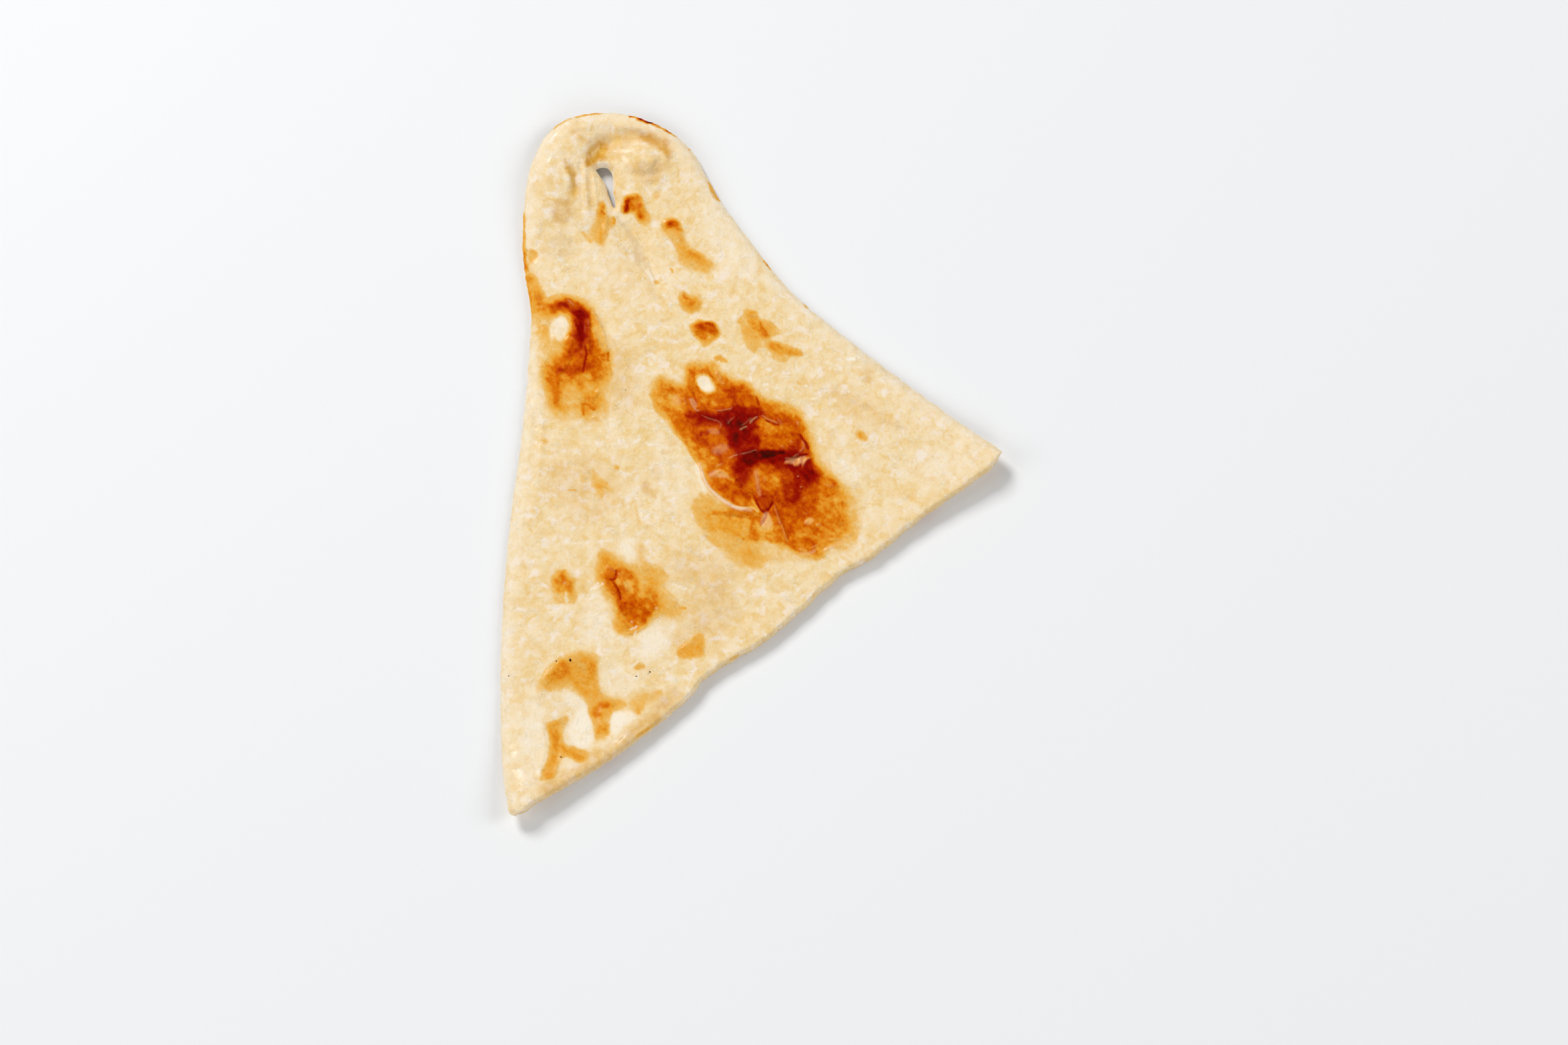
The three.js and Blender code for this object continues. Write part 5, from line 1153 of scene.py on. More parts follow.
# the bread's skin, crumb edge and underside
def scattered(spacing, seed):
    rng = np.random.default_rng(seed)
    columns = np.arange(gridX[0], gridX[-1], spacing)
    rows = np.arange(gridY[0], gridY[-1], spacing * math.sqrt(0.75))
    x, y = np.meshgrid(columns, rows)
    x = x + spacing * 0.5 * (np.arange(len(rows)) % 2)[:, None]
    jitter = rng.uniform(-0.22, 0.22, (2,) + x.shape) * spacing
    return np.stack([(x + jitter[0]).ravel(), (y + jitter[1]).ravel()], axis=1)


def fitting(points, spacing):
    inside = insideOf(*points.T, edgeRing) & ~insideOf(*points.T, slotRing)
    points = points[inside]
    clear = (away(points, edgeRing, True) > 0.5 * spacing) & (away(points, slotRing, True) > 0.5 * spacing)
    return points[clear]


def netted(inner):
    # triangles over the outline, round the slot; the rings' points come first
    points = np.vstack([edgeRing, slotRing, inner])
    first = len(edgeRing)
    loop = [(k, (k + 1) % first) for k in range(first)]
    hole = [(first + k, first + (k + 1) % len(slotRing)) for k in range(len(slotRing))]
    made = delaunay_2d_cdt([Vector(p) for p in points], loop + hole, [], 1, 1e-6)
    came = np.array([origin[0] for origin in made[3]])
    faces = came[np.array(made[2])]
    a, b, c = (points[faces[:, k]] for k in range(3))
    area = (b - a)[:, 0] * (c - a)[:, 1] - (b - a)[:, 1] * (c - a)[:, 0]
    faces[area < 0] = faces[area < 0][:, ::-1]
    middle = (a + b + c) / 3
    outside = ~insideOf(*middle.T, edgeRing) | insideOf(*middle.T, slotRing)
    return points, faces[~outside & (abs(area) > 1e-7)]


fineSkin = [
    area(1, 4, [(-67, 45), (-60, 52), (-50, 49), (-41, 32), (-41, 12), (-50, 4), (-62, 10), (-63, 30)]),
    area(1, 4, [(-48, -32), (-34, -36), (-24, -46), (-26, -54), (-38, -61), (-44, -56), (-48, -44)]),
    area(1, 3, [(-56, 98), (-40, 105), (-26, 99), (-22, 76), (-12, 60), (-18, 55), (-30, 52), (-40, 64),
        (-56, 72)]),
]
finestSkin = [
    area(1, 2, [(-31, 21), (-17, 29), (-2, 24), (12, 15), (19, 4), (22, -6), (31, -16), (31, -28), (20, -36),
        (0, -31), (-16, -28), (-19, -14), (-18, -4), (-27, 8)]),
]


def isOn(patches, points):
    return brush(np.zeros(len(points)), patches, *backToMarks(*points.T, marksBox["level"])) > 0.5


def backToMarks(x, y, z):
    # marks lie on one level, seen from a little in front: taller places look them up further on
    middle, size = packedBread()
    markX = (x - middle.x) * marksBox["width"] / size.x + marksBox["middle"][0]
    markY = (y - middle.y) * marksBox["length"] / size.y + marksBox["middle"][1]
    rise = z - marksBox["level"]
    return (markX + rise * (markX - marksBox["eyeX"]) / marksBox["eyeHeight"],
            markY + rise * (marksBox["lean"] + marksBox["leanGrowth"] * markY))


def fromMarks(spots):
    # the place on the bread that each spot of a mark belongs to
    found = spots
    for _ in range(6):
        height = onGrid(thickGrid, *found.T) + np.maximum(onGrid(underGrid, *found.T), 0)
        found = found + spots - np.column_stack(backToMarks(*found.T, height))
    return found


def creaseRows():
    # close rows of points along every ridge and crease, so that their edges stay sharp
    rows = []
    for pressed, _ in ridges + creases:
        path = pressed["line"]
        along = np.append(0, np.cumsum(np.hypot(*np.diff(path, axis=0).T)))
        steps = np.linspace(0, along[-1], max(3, int(along[-1] / bread["creaseStep"])))
        middle = np.column_stack([np.interp(steps, along, path[:, k]) for k in (0, 1)])
        ahead = np.gradient(middle, axis=0)
        side = np.column_stack([-ahead[:, 1], ahead[:, 0]]) / np.hypot(*ahead.T)[:, None]
        rows += [middle + offset * side for offset in bread["creaseOffsets"]]
    spots = fromMarks(np.vstack(rows))
    _, apart = np.unique(np.round(spots / bread["creaseApart"]), axis=0, return_index=True)
    return spots[np.sort(apart)]


def clearOf(points, others, gap):
    tree = treeOf(others)
    return points[[tree.find((x, y, 0))[2] > gap for x, y in points]]


coarse, fine = scattered(bread["skinGrid"], 1), scattered(bread["foldGrid"], 2)
finest = scattered(bread["blisterGrid"], 4)
inner = fitting(np.vstack([coarse[~isOn(fineSkin + finestSkin, coarse)],
                           fine[isOn(fineSkin, fine) & ~isOn(finestSkin, fine)],
                           finest[isOn(finestSkin, finest)]]), bread["foldGrid"])
rowPoints = fitting(creaseRows(), bread["foldGrid"])
skinPoints, skinFaces = netted(np.vstack([clearOf(inner, rowPoints, bread["creaseClear"]), rowPoints]))
print("skin net:", len(skinPoints), "points,", len(skinFaces), "triangles")
underPoints, underFaces = netted(fitting(scattered(bread["undersideGrid"], 3), bread["undersideGrid"]))
print("underside net:", len(underPoints), "points,", len(underFaces), "triangles")


def thicknessAt(points):
    full = onGrid(thickGrid, *points.T)
    made = full.copy()
    wobble = 1 + 0.25 * lumps(*points.T, 4.0, 31)
    for edge, run, path, closed in ((bread["rimThickness"] * wobble, bread["rimRun"], bakedLine, False),
                                    (bread["cutThickness"] * wobble, bread["cutRun"], cutLine, False),
                                    (bread["slotShare"] * full, bread["slotRun"], slotRing, True)):
        inward = np.clip(away(points, path, closed) / run, 0, 1)
        edge = np.minimum(edge, full)
        made = np.minimum(made, edge + (full - edge) * np.sqrt(1 - (1 - inward) ** 2))
    return made


def undersideAt(points):
    height = onGrid(underGrid, *points.T)
    dimples = sum(depth * np.clip(lumps(*points.T, size, seed), 0, 1)
                  for depth, size, seed in bread["dimples"])
    rim = np.minimum(away(points, edgeRing, True), away(points, slotRing, True))
    turnedUp = bread["edgeUp"] * np.clip(1 - rim / bread["edgeUpRun"], 0, 1) ** 2
    return np.maximum(height, 0) + dimples + turnedUp


skinUnder = onGrid(underGrid, *skinPoints.T)
skinZ = np.maximum(skinUnder, 0) + thicknessAt(skinPoints)
markX, markY = backToMarks(*skinPoints.T, skinZ)
warpX, warpY = (lumpsOf(markX, markY, [(0.55, 4.0, seed), (0.3, 1.5, seed + 1)]) for seed in (41, 43))
lineX, lineY = markX, markY  # folds and thin marks go by these
relief = np.zeros(len(skinZ))
for group in [*skinFolds.values(), [pressed for pressed, _ in ridges + creases]]:
    press(relief, group, lineX, lineY)
dough = lumpsOf(markX, markY, grain)
relief += dough
edgeNear = np.minimum(away(skinPoints, edgeRing, True), away(skinPoints, slotRing, True))
skinZ += relief * smoothStep(0.15 + edgeNear / bread["reliefRun"])
underZ = undersideAt(underPoints)
underZ += bread["lift"] - underZ.min()
print("skin shaped: highest", round(float(skinZ.max()), 2), "mm, relief to", round(float(relief.max()), 2))


def wallRings(ring, start, sign, bulge):
    # rows of points down the edge, from the skin to the underside
    top, bottom = skinZ[start:start + len(ring)], underZ[start:start + len(ring)]
    push = outward(ring) * sign
    rows = []
    for k in range(1, bread["edgeRows"]):
        t = k / bread["edgeRows"]
        roughness = bread["edgeRoughness"] * lumps(ring[:, 0] + 40 * t, ring[:, 1] - 25 * t, 1.1, 51)
        reach = bulge * math.sin(math.pi * min(1, t * 1.15)) + roughness * math.sin(math.pi * t)
        place = ring + push * reach[:, None]
        rows.append(np.column_stack([place, top + (bottom - top) * (0.5 - 0.5 * math.cos(math.pi * t))]))
    return rows


edgeBulge = np.where(isCut, bread["cutBulge"], bread["rimBulge"])
outerRows = wallRings(edgeRing, 0, 1, edgeBulge)
slotRows = wallRings(slotRing, len(edgeRing), -1, bread["slotBulge"])


def build():
    vertices = [np.column_stack([skinPoints, skinZ]), np.column_stack([underPoints, underZ])]
    underStart = len(skinPoints)
    faces = [skinFaces, underFaces[:, ::-1] + underStart]
    total = underStart + len(underPoints)
    for rows, start, count, turned in ((outerRows, 0, len(edgeRing), False),
                                       (slotRows, len(edgeRing), len(slotRing), True)):
        here = np.arange(count) + start
        levels = [here]
        for row in rows:
            vertices.append(row)
            levels.append(np.arange(count) + total)
            total += count
        levels.append(here + underStart)
        for upper, lower in zip(levels, levels[1:]):
            a, b, c, d = upper, lower, np.roll(lower, -1), np.roll(upper, -1)
            quads = np.vstack([np.column_stack([a, b, c]), np.column_stack([a, c, d])])
            faces.append(quads[:, ::-1] if turned else quads)
    return np.vstack(vertices) * mm, np.vstack(faces)


places, faces = build()
breadMesh = bpy.data.meshes.new("butterNaanPiece")
breadMesh.from_pydata(places.tolist(), [], faces.tolist())
breadMesh.validate()
breadMesh.shade_smooth()
naan = inScene("butterNaanPiece", breadMesh)
print("bread mesh:", len(places), "points,", len(faces), "triangles")

# what each place of the surface is: painted fields that the finish reads
skinCount, underCount = len(skinPoints), len(underPoints)
markX, markY = backToMarks(*skinPoints.T, skinZ)
markX, markY = markX + warpX, markY + warpY
fields = {name: np.zeros(len(places)) for name in ("scorch", "soaked", "pale", "raw", "cut", "under", "crest",
                                                   "dry", "glint")}
edgesOnSkin = np.vstack([skinFaces[:, [0, 1]], skinFaces[:, [1, 2]], skinFaces[:, [2, 0]]])
neighbours = np.bincount(edgesOnSkin.ravel(), minlength=skinCount)
edgeLength = np.hypot(*(skinPoints[edgesOnSkin[:, 0]] - skinPoints[edgesOnSkin[:, 1]]).T)
netStep = (np.bincount(edgesOnSkin[:, 0], edgeLength, skinCount)
           + np.bincount(edgesOnSkin[:, 1], edgeLength, skinCount)) / neighbours


def softened(values, width):
    # spread over "width" millimetres, however close the net is there
    share = np.clip(0.2 * (width / netStep) ** 2, 0, 0.7)
    for _ in range(10):
        total = np.bincount(edgesOnSkin[:, 0], values[edgesOnSkin[:, 1]], skinCount)
        total += np.bincount(edgesOnSkin[:, 1], values[edgesOnSkin[:, 0]], skinCount)
        values = values + share * (total / neighbours - values)
    return values


def isThin(mark):
    return not mark["filled"] and max(mark["wide"]) < 1


browning = {
    "firstSpread": 0.55,  # millimetres that a scorch spreads as the next is laid on it
    "lastSpread": 0.2,
    "mottling": 1.5,
    "fringeSpread": 0.9,  # the golden fringe round a blister
    "fringeRounds": 5,
    "fringeTop": 0.4,
    "fringeStrength": 0.8,
    "crestHeight": 0.16,
    "rimReach": 0.7,
    "rimRagged": 0.9,
    "rimPale": 0.45,
    "rimPaleReach": 7,
    "undersideSpots": 70,
}
frayX = 0.4 * warpX + 0.24 * lumps(lineX, lineY, 0.9, 45)
frayY = 0.4 * warpY + 0.24 * lumps(lineX, lineY, 0.9, 46)
# broad scorches spread in the dough as each darker one is laid on, thin ones stay crisp on their folds
scorch = np.zeros(skinCount)
blistered = np.zeros(skinCount)
for name, marks in scorchesAndShade.items():
    heatAndShade = np.zeros(skinCount)
    hottest = 0.0
    for mark in marks:
        if isThin(mark):
            continue
        if mark["level"] > hottest + 0.05:
            heatAndShade = softened(heatAndShade, browning["firstSpread"] - 0.25 * hottest) if hottest else heatAndShade
            hottest = mark["level"]
        heatAndShade = brush(heatAndShade, [mark], lineX + frayX, lineY + frayY)
    scorch = np.maximum(scorch, softened(heatAndShade, browning["lastSpread"]))
    if "blister" in name:
        blistered = np.maximum(blistered, heatAndShade)
alongFolds = (0.64 * markX + 0.77 * markY, 0.77 * markX - 0.64 * markY)  # the way the dough was stretched
patchy = lumpsOf(markX, markY, [(0.15, 5.0, 71), (0.16, 2.2, 72), (0.12, 1.1, 73)])
patchy += 0.14 * lumps(alongFolds[0] / 1.4, alongFolds[1] / 4.5, 1.0, 74)
scorch += browning["mottling"] * patchy * np.minimum(scorch, 0.5) * np.clip(1.5 - scorch, 0.3, 1)
gleaming = gleams + [shown for _, shown in ridges]
for name, marks, across, along in (("glint", gleaming, lineX, lineY), ("dry", highlightDabs, lineX, lineY),
                                   ("soaked", soakingsAndShade, markX, markY), ("pale", paleDoughAndHighlights, markX, markY),
                                   ("raw", rawDoughAndShade, markX, markY)):
    fields[name][:skinCount] = brush(np.zeros(skinCount), marks, across, along)
fringe = blistered
for _ in range(browning["fringeRounds"]):
    fringe = softened(fringe, browning["fringeSpread"])
fringe = browning["fringeStrength"] * np.minimum(fringe * (1 + browning["mottling"] * patchy),
                                                 browning["fringeTop"])
scorch = np.maximum(scorch, fringe * (1 - fields["pale"][:skinCount]))
rimHeat = brush(np.zeros(skinCount), rimScorches, markX, markY)
ragged = 0.5 + 0.4 * lumps(markX, markY, 1.6, 75) + 0.3 * lumps(markX, markY, 0.8, 76)
rimReach = browning["rimReach"] + browning["rimRagged"] * np.clip(ragged, 0, 1.2)
scorch = np.maximum(scorch, rimHeat * smoothStep(1.3 - edgeNear / rimReach))
scorch = brush(scorch, edgesKept, lineX, lineY)
# thin scorch lines, then creases that add painted shade along their feet
thinMarks = [mark for group in scorchesAndShade.values() for mark in group if isThin(mark)]
scorch = brush(scorch, thinMarks + [shown for _, shown in creases], lineX, lineY)
fields["scorch"][:skinCount] = scorch
fields["crest"][:skinCount] = dough / browning["crestHeight"]
rimNear = smoothStep(1 - away(skinPoints, bakedLine) / browning["rimPaleReach"])
fields["pale"][:skinCount] = np.maximum(fields["pale"][:skinCount], browning["rimPale"] * rimNear)
underSide = slice(skinCount, skinCount + underCount)
fields["under"][underSide] = 1
spotRng = np.random.default_rng(77)
undersideSpots = []
for _ in range(browning["undersideSpots"]):
    middle = spotRng.uniform((-72, -108), (72, 108))
    radius = spotRng.uniform(1.4, 4.8)
    level = spotRng.uniform(0.2, 0.85)
    radii = (radius, radius * spotRng.uniform(0.5, 1))
    undersideSpots.append(spot(level, radius * 0.9, middle, radii, spotRng.uniform(0, 180), 0.9))
brush(fields["scorch"][underSide], undersideSpots, underPoints[:, 0] + 0.8 * lumps(*underPoints.T, 3.0, 61),
      underPoints[:, 1] + 0.8 * lumps(*underPoints.T, 3.0, 62))
row = skinCount + underCount
for k in range(len(outerRows)):
    t = (k + 1) / bread["edgeRows"]
    part = slice(row, row + len(edgeRing))
    fields["cut"][part] = isCut
    fields["under"][part] = np.where(isCut, 0, smoothStep(t * 1.4 - 0.4))
    fields["scorch"][part] = fields["scorch"][:len(edgeRing)] * (1 - 0.7 * t) * np.where(isCut, 0.4, 1)
    fields["pale"][part] = fields["pale"][:len(edgeRing)] * (1 - t)
    row += len(edgeRing)
# the slot's walls painted pale: painted light that brightens the slot
for _ in slotRows:
    fields["pale"][row:row + len(slotRing)] = 1
    row += len(slotRing)
for name, values in fields.items():
    painted = breadMesh.attributes.new(name, "FLOAT", "POINT")
    painted.data.foreach_set("value", np.clip(values, -1.5, 1.5).astype(np.float32))
print("surface painted")


# finishes
class Wire:
    # a node's output that can be used in sums
    def __init__(self, finish, socket):
        self.finish = finish
        self.socket = socket

    def sum(self, operation, first, second):
        return self.finish.node("ShaderNodeMath", {"operation": operation}, {0: first, 1: second})

    def __add__(self, other):
        return self.sum("ADD", self, other)

    def __radd__(self, other):
        return self.sum("ADD", other, self)

    def __sub__(self, other):
        return self.sum("SUBTRACT", self, other)

    def __rsub__(self, other):
        return self.sum("SUBTRACT", other, self)

    def __mul__(self, other):
        return self.sum("MULTIPLY", self, other)

    def __rmul__(self, other):
        return self.sum("MULTIPLY", other, self)


class Finish:
    # a material, and the one way that its nodes are made
    def __init__(self, name):
        self.material = bpy.data.materials.new(name)
        self.material.use_nodes = True
        self.tree = self.material.node_tree
        self.shader = self.tree.nodes["Principled BSDF"]

    def put(self, socket, value):
        if isinstance(value, Wire):
            self.tree.links.new(value.socket, socket)
        else:
            socket.default_value = value

    def node(self, kind, settings=None, sockets=None, out=0):
        made = self.tree.nodes.new(kind)
        for name, value in (settings or {}).items():
            if name == "stops":
                ramp = made.color_ramp
                while len(ramp.elements) < len(value):
                    ramp.elements.new(1)
                for element, (position, colour) in zip(ramp.elements, value):
                    element.position = position
                    element.color = colour
            else:
                setattr(made, name, value)
        for name, value in (sockets or {}).items():
            self.put(made.inputs[name], value)
        return Wire(self, made.outputs[out])

    def surface(self, **sockets):
        for name, value in sockets.items():
            self.put(self.shader.inputs[name.replace("_", " ")], value)


def colour(red, green, blue):
    # screen colour to the renderer's own
    parts = [v / 255 for v in (red, green, blue)]
    return tuple(v / 12.92 if v <= 0.04045 else ((v + 0.055) / 1.055) ** 2.4 for v in parts) + (1.0,)


crust = Finish("bakedDough")
space = crust.node("ShaderNodeTexCoord", out="Object")


def field(name):
    return crust.node("ShaderNodeAttribute", {"attribute_name": name}, out="Fac")


def noise(size, detail=2.0, rough=0.5, twist=0.0, shift=0.0, stretch=(1, 1, 1), turn=0):
    # size in millimetres, turned in degrees before it is stretched
    turned = space
    if turn:
        about = (0, 0, math.radians(turn))
        turned = crust.node("ShaderNodeMapping", {}, {"Vector": space, "Rotation": about})
    moved = crust.node("ShaderNodeMapping", {}, {"Vector": turned, "Location": (shift, 2 * shift, 0),
                                                 "Scale": stretch})
    return crust.node("ShaderNodeTexNoise", {}, {"Vector": moved, "Scale": 1000 / size, "Detail": detail,
                                                 "Roughness": rough, "Distortion": twist})


def ramped(value, low, high, start=0.0, end=1.0):
    return crust.node("ShaderNodeMapRange", {"interpolation_type": "SMOOTHSTEP"},
                      {"Value": value, "From Min": low, "From Max": high, "To Min": start, "To Max": end})


def blended(share, first, second):
    return crust.node("ShaderNodeMix", {"data_type": "RGBA"}, {0: share, 6: first, 7: second}, out=2)


crustLook = {
    "bump": 0.75,
    "bumpHeight": 0.0008,  # metres
    "butter": 0.5,  # how strongly the buttered patches shine
    "butterRoughness": 0.22,
    "glow": 0.1,  # light that goes through the dough
    "glowDepth": 0.003,
    "glowTint": (1.0, 0.55, 0.25),
    "specular": 0.02,
}
bakedAndShade, soaked, pale, raw, cut, under, crest, glint, dry = [
    field(name) for name in ("scorch", "soaked", "pale", "raw", "cut", "under", "crest", "glint", "dry")]
mottle = noise(3.4, 4, 0.58, 0.5)
blotch = noise(6.5, 2, 0.5, 0.8, shift=0.13)
speckle = noise(0.9, 2, 0.6, 0.2, shift=0.31)
toast = noise(0.45, 2, 0.6, 0.0, shift=0.47)
wide = noise(16, 2, 0.5, 0.3, shift=0.73)
yellowing = noise(2.8, 4, 0.6, 0.6, shift=1.13)
flour = noise(3.4, 4, 0.6, 0.4, shift=1.57)
curl = noise(3.0, 1, 0.5, 1.2, shift=2.71)
curlPlace = noise(4.4, 1, 0.5, 0.0, shift=2.93)
streak = noise(0.9, 3, 0.6, 0.4, shift=3.7, stretch=(1.0, 0.3, 1.0), turn=-40)
body = 0.45 * mottle + 0.3 * blotch + 0.15 * speckle + 0.1 * wide + 0.03 * crest
cream = crust.node("ShaderNodeValToRGB", {"stops": [
    (0.3, colour(232, 191, 118)), (0.42, colour(239, 208, 151)), (0.51, colour(243, 218, 172)),
    (0.6, colour(245, 224, 188)), (0.72, colour(249, 236, 212))]}, {"Fac": body})
cream = blended(ramped(yellowing, 0.47, 0.72, 0.0, 0.85), cream, colour(237, 200, 128))
cream = blended(ramped(flour, 0.5, 0.7, 0.0, 0.85), cream, colour(246, 232, 216))
# painted highlights: thin curled glints and small bright flecks of wet butter lightened into the cream, also
# raised a little in the bump
glintSquiggle = ramped((curl - 0.5) * (curl - 0.5), 0.0, 0.0007, 1.0, 0.0) * ramped(curlPlace, 0.58, 0.66)
glintFleck = ramped(noise(0.8, 1, 0.5, shift=1.9), 0.7, 0.78)
cream = blended(0.55 * glintSquiggle, cream, colour(252, 240, 216))
cream = blended(0.7 * glintFleck, cream, colour(253, 245, 228))
# tone for butter-soaked dough, also carrying painted shade in the tip's groove
wetAndShadeTone = blended(ramped(mottle, 0.35, 0.65), colour(210, 148, 38), colour(226, 178, 82))
doughy = blended(soaked * ramped(speckle, 0.2, 0.6, 0.8, 1.0), cream, wetAndShadeTone)
# tone for raw dough, also carrying painted shade under the tip's bubble
rawAndShadeTone = blended(ramped(mottle, 0.4, 0.6), colour(222, 192, 144), colour(232, 208, 166))
doughy = blended(raw * 0.9, doughy, rawAndShadeTone)
doughy = blended(pale * ramped(mottle, 0.25, 0.6, 0.55, 1.0), doughy, colour(249, 237, 216))
fray = (speckle - 0.5) * 0.7 + (mottle - 0.5) * 0.5 + (toast - 0.5) * 0.5 + (streak - 0.5) * 0.8
level = bakedAndShade + fray * ramped(bakedAndShade, 0.02, 0.3, 0.0, 0.3) * ramped(bakedAndShade, 0.7, 1.1, 1.0, 0.45)
# colours for scorch; the darkest end also paints the shade in creases and under the overhanging fold
toastedAndShaded = crust.node("ShaderNodeValToRGB", {"stops": [
    (0.0, colour(241, 208, 150)), (0.175, colour(235, 184, 96)), (0.35, colour(233, 160, 46)),
    (0.52, colour(218, 114, 2)), (0.65, colour(198, 78, 0)), (0.78, colour(166, 34, 0)),
    (0.87, colour(144, 6, 0)), (1.0, colour(66, 10, 2))]}, {"Fac": 0.87 * level})
skin = blended(ramped(level, 0.03, 0.2), doughy, toastedAndShaded)
# painted highlights: sheen over the blisters and glints along the ridges
skin = blended(glint * ramped(toast, 0.3, 0.6, 0.4, 0.8), skin, colour(240, 182, 122))
# painted highlight dabs, lightened into the colour
skin = blended(dry, skin, colour(253, 247, 234))
crumb = blended(ramped(speckle, 0.35, 0.65), colour(228, 190, 132), colour(245, 219, 174))
skin = blended(cut * 0.85, skin, crumb)
skin = blended(under * ramped(wide, 0.3, 0.7, 0.15, 0.5), skin, colour(228, 186, 122))
wrinkle = noise(1.6, 3, 0.5, 1.8, shift=1.7, stretch=(1.0, 0.7, 1.0))
dimple = noise(3.2, 2, 0.5, 0.8, shift=2.3)
gloss = noise(4.0, 3, 0.6, 0.8, shift=3.1)
charred = ramped(bakedAndShade, 0.3, 0.7)
buttery = ramped(gloss, 0.5, 0.64, 0.0, crustLook["butter"])
bumpHeight = (0.4 * wrinkle + 0.4 * dimple + 0.16 * glintSquiggle + 0.1 * glintFleck + 0.3 * cut * speckle
              + charred * (0.12 * toast + 0.35 * streak))
bump = crust.node("ShaderNodeBump", {}, {"Strength": crustLook["bump"], "Distance": crustLook["bumpHeight"],
                                         "Height": bumpHeight}, out="Normal")
crust.surface(Base_Color=skin, Normal=bump,
              Roughness=ramped(gloss, 0.3, 0.7, 0.4, 0.55) + 0.1 * cut,
              Coat_Weight=(buttery * (1 - 0.9 * charred) * (1 - pale) + 0.5 * glint) * (1 - cut),
              Coat_Roughness=crustLook["butterRoughness"], Subsurface_Weight=crustLook["glow"],
              Subsurface_Scale=crustLook["glowDepth"], Subsurface_Radius=crustLook["glowTint"],
              Specular_IOR_Level=crustLook["specular"])
naan.data.materials.append(crust.material)
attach(naan, "root")
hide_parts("naan")

# burnt specks lying on the skin
specks = {
    "size": 0.24,  # millimetres
    "sunk": 0.12,
    "around": 9,  # points in a ring
    "rings": [(0.0, 0.8), (0.35, 1.0), (0.75, 0.55)],  # height and width, as shares of the size
    "places": [(-54, -65, 1.6), (-58, -65.3, 1.2), (-34.5, -70, 1.1), (-30.5, -68.5, 1.2), (-31, -69, 0.8),
               (-56, -94.5, 1.2), (-72, -69.5, 1.0), (-39, 20, 0.8), (23.5, 7, 0.7), (17, -15, 0.7)],
}
breadTree = BVHTree.FromPolygons(places.tolist(), faces.tolist())
speckRng = np.random.default_rng(5)
speckPlaces, speckFaces = [], []
laid = 0
for x, y, share in specks["places"]:
    atX, atY = onBread(x, y)
    found = breadTree.ray_cast((atX * mm, (atY - 0.4) * mm, 0.05), (0, 0, -1))[0]
    if found is None:
        continue
    laid += 1
    start, around, size = len(speckPlaces), specks["around"], specks["size"]
    turn = speckRng.uniform(0, 6.28)
    for height, spreadOut in specks["rings"]:
        for k in range(around):
            angle = turn + k * 2 * math.pi / around
            reach = size * share * spreadOut * speckRng.uniform(0.75, 1.2)
            stretched = (reach * 1.4 * math.cos(angle), reach * 0.8 * math.sin(angle))
            aimX = stretched[0] * math.cos(turn) - stretched[1] * math.sin(turn)
            aimY = stretched[0] * math.sin(turn) + stretched[1] * math.cos(turn)
            speckPlaces.append((found.x + aimX * mm, found.y + aimY * mm,
                                found.z + (height * share * size - specks["sunk"]) * mm))
    speckPlaces.append((found.x, found.y, found.z + (0.85 * share * size - specks["sunk"]) * mm))
    speckPlaces.append((found.x, found.y, found.z - 0.15 * mm))
    top = start + 3 * around
    onward = [(k, (k + 1) % around) for k in range(around)]
    for ring in (start, start + around):
        speckFaces += [(ring + a, ring + b, ring + b + around, ring + a + around) for a, b in onward]
    for a, b in onward:
        speckFaces.append((top - around + a, top - around + b, top))
        speckFaces.append((start + b, start + a, top + 1))
speckMesh = bpy.data.meshes.new("charSpecks")
speckMesh.from_pydata(speckPlaces, [], speckFaces)
speckMesh.shade_smooth()
charSpecks = inScene("charSpecks", speckMesh)
char = Finish("charredFlour")
charSpace = char.node("ShaderNodeTexCoord", out="Object")
charNoise = char.node("ShaderNodeTexNoise", {}, {"Vector": charSpace, "Scale": 4000.0})
charTone = char.node("ShaderNodeValToRGB", {"stops": [(0.35, colour(38, 18, 8)), (0.7, colour(84, 44, 18))]},
                     {"Fac": charNoise})
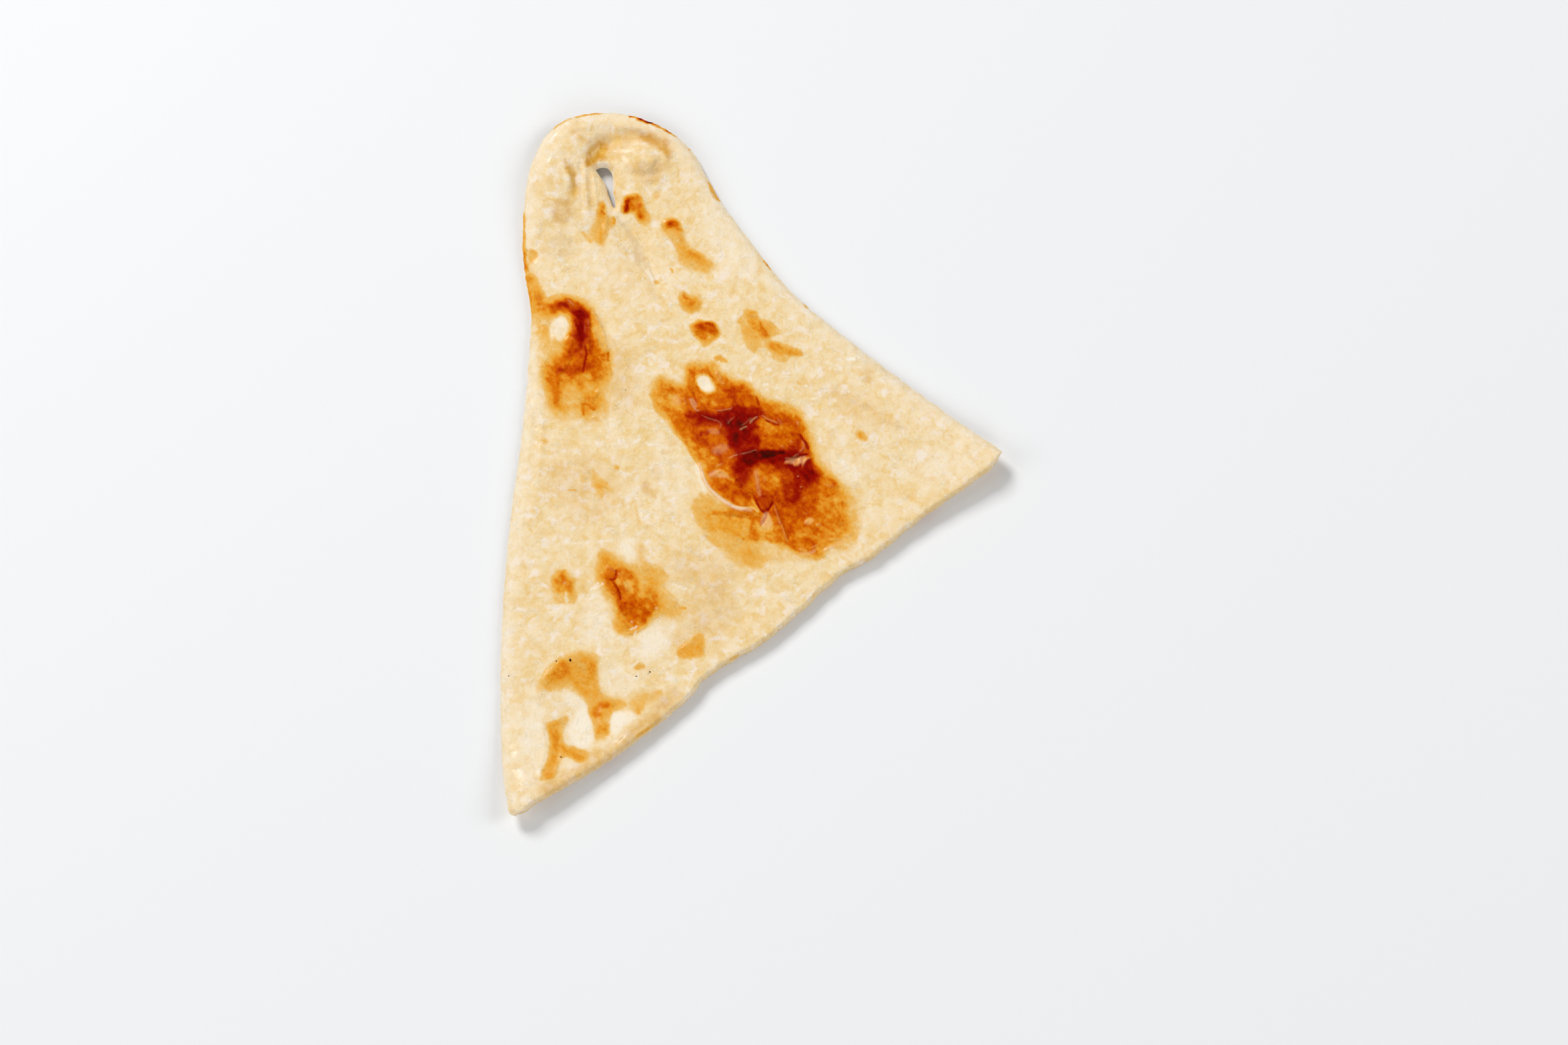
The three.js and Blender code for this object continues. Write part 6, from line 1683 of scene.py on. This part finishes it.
char.surface(Base_Color=charTone, Roughness=0.9, Specular_IOR_Level=0.1)
charSpecks.data.materials.append(char.material)
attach(charSpecks, "root")
print("specks laid:", laid)

# floor, light and camera
studio = {
    "floor": (240, 241, 242),
    "sky": 0.13,
    "lamps": {  # power, place, size
        "keyLight": (38.6, (-1.1, 1.35, 1.7), 0.8),
        "leftLight": (13.0, (-2.0, -0.5, 1.3), 1.2),
        "rightLight": (22.0, (2.0, 0.2, 1.4), 1.2),
        "frontLight": (15.5, (0.3, -2.0, 1.4), 1.4),
    },
    "lens": 72.67,
    "elevation": 72,  # degrees
    "distance": 0.95,
    "target": (0.009, -0.02085, 0),
}
floorMesh = bpy.data.meshes.new("floor")
floorMesh.from_pydata([(-3, -3, 0), (3, -3, 0), (3, 3, 0), (-3, 3, 0)], [], [(0, 1, 2, 3)])
floor = inScene("floor", floorMesh)
ground = Finish("paleFloor")
ground.surface(Base_Color=colour(*studio["floor"]), Roughness=0.55, Specular_IOR_Level=0.2)
floor.data.materials.append(ground.material)


def lamp(name, power, place, size):
    light = bpy.data.lights.new(name, "AREA")
    light.energy = power
    light.size = size
    holder = inScene(name, light)
    holder.location = place
    holder.rotation_euler = (Vector((0, 0, 0)) - Vector(place)).to_track_quat("-Z", "Y").to_euler()


for name, (power, place, size) in studio["lamps"].items():
    lamp(name, power, place, size)
world = bpy.data.worlds.new("studio")
bpy.context.scene.world = world
world.use_nodes = True
world.node_tree.nodes["Background"].inputs["Color"].default_value = (1, 1, 1, 1)
world.node_tree.nodes["Background"].inputs["Strength"].default_value = studio["sky"]
bpy.context.scene.view_settings.view_transform = "Standard"

lens = bpy.data.cameras.new("camera")
lens.sensor_width = 36
lens.lens = studio["lens"]
lens.clip_start = 0.01
camera = inScene("camera", lens)
elevation = math.radians(studio["elevation"])
back = Vector((0, -math.cos(elevation), math.sin(elevation)))
camera.location = Vector(studio["target"]) + studio["distance"] * back
camera.rotation_euler = (math.radians(90) - elevation, 0, 0)
bpy.context.scene.camera = camera
print("camera, light and floor set")
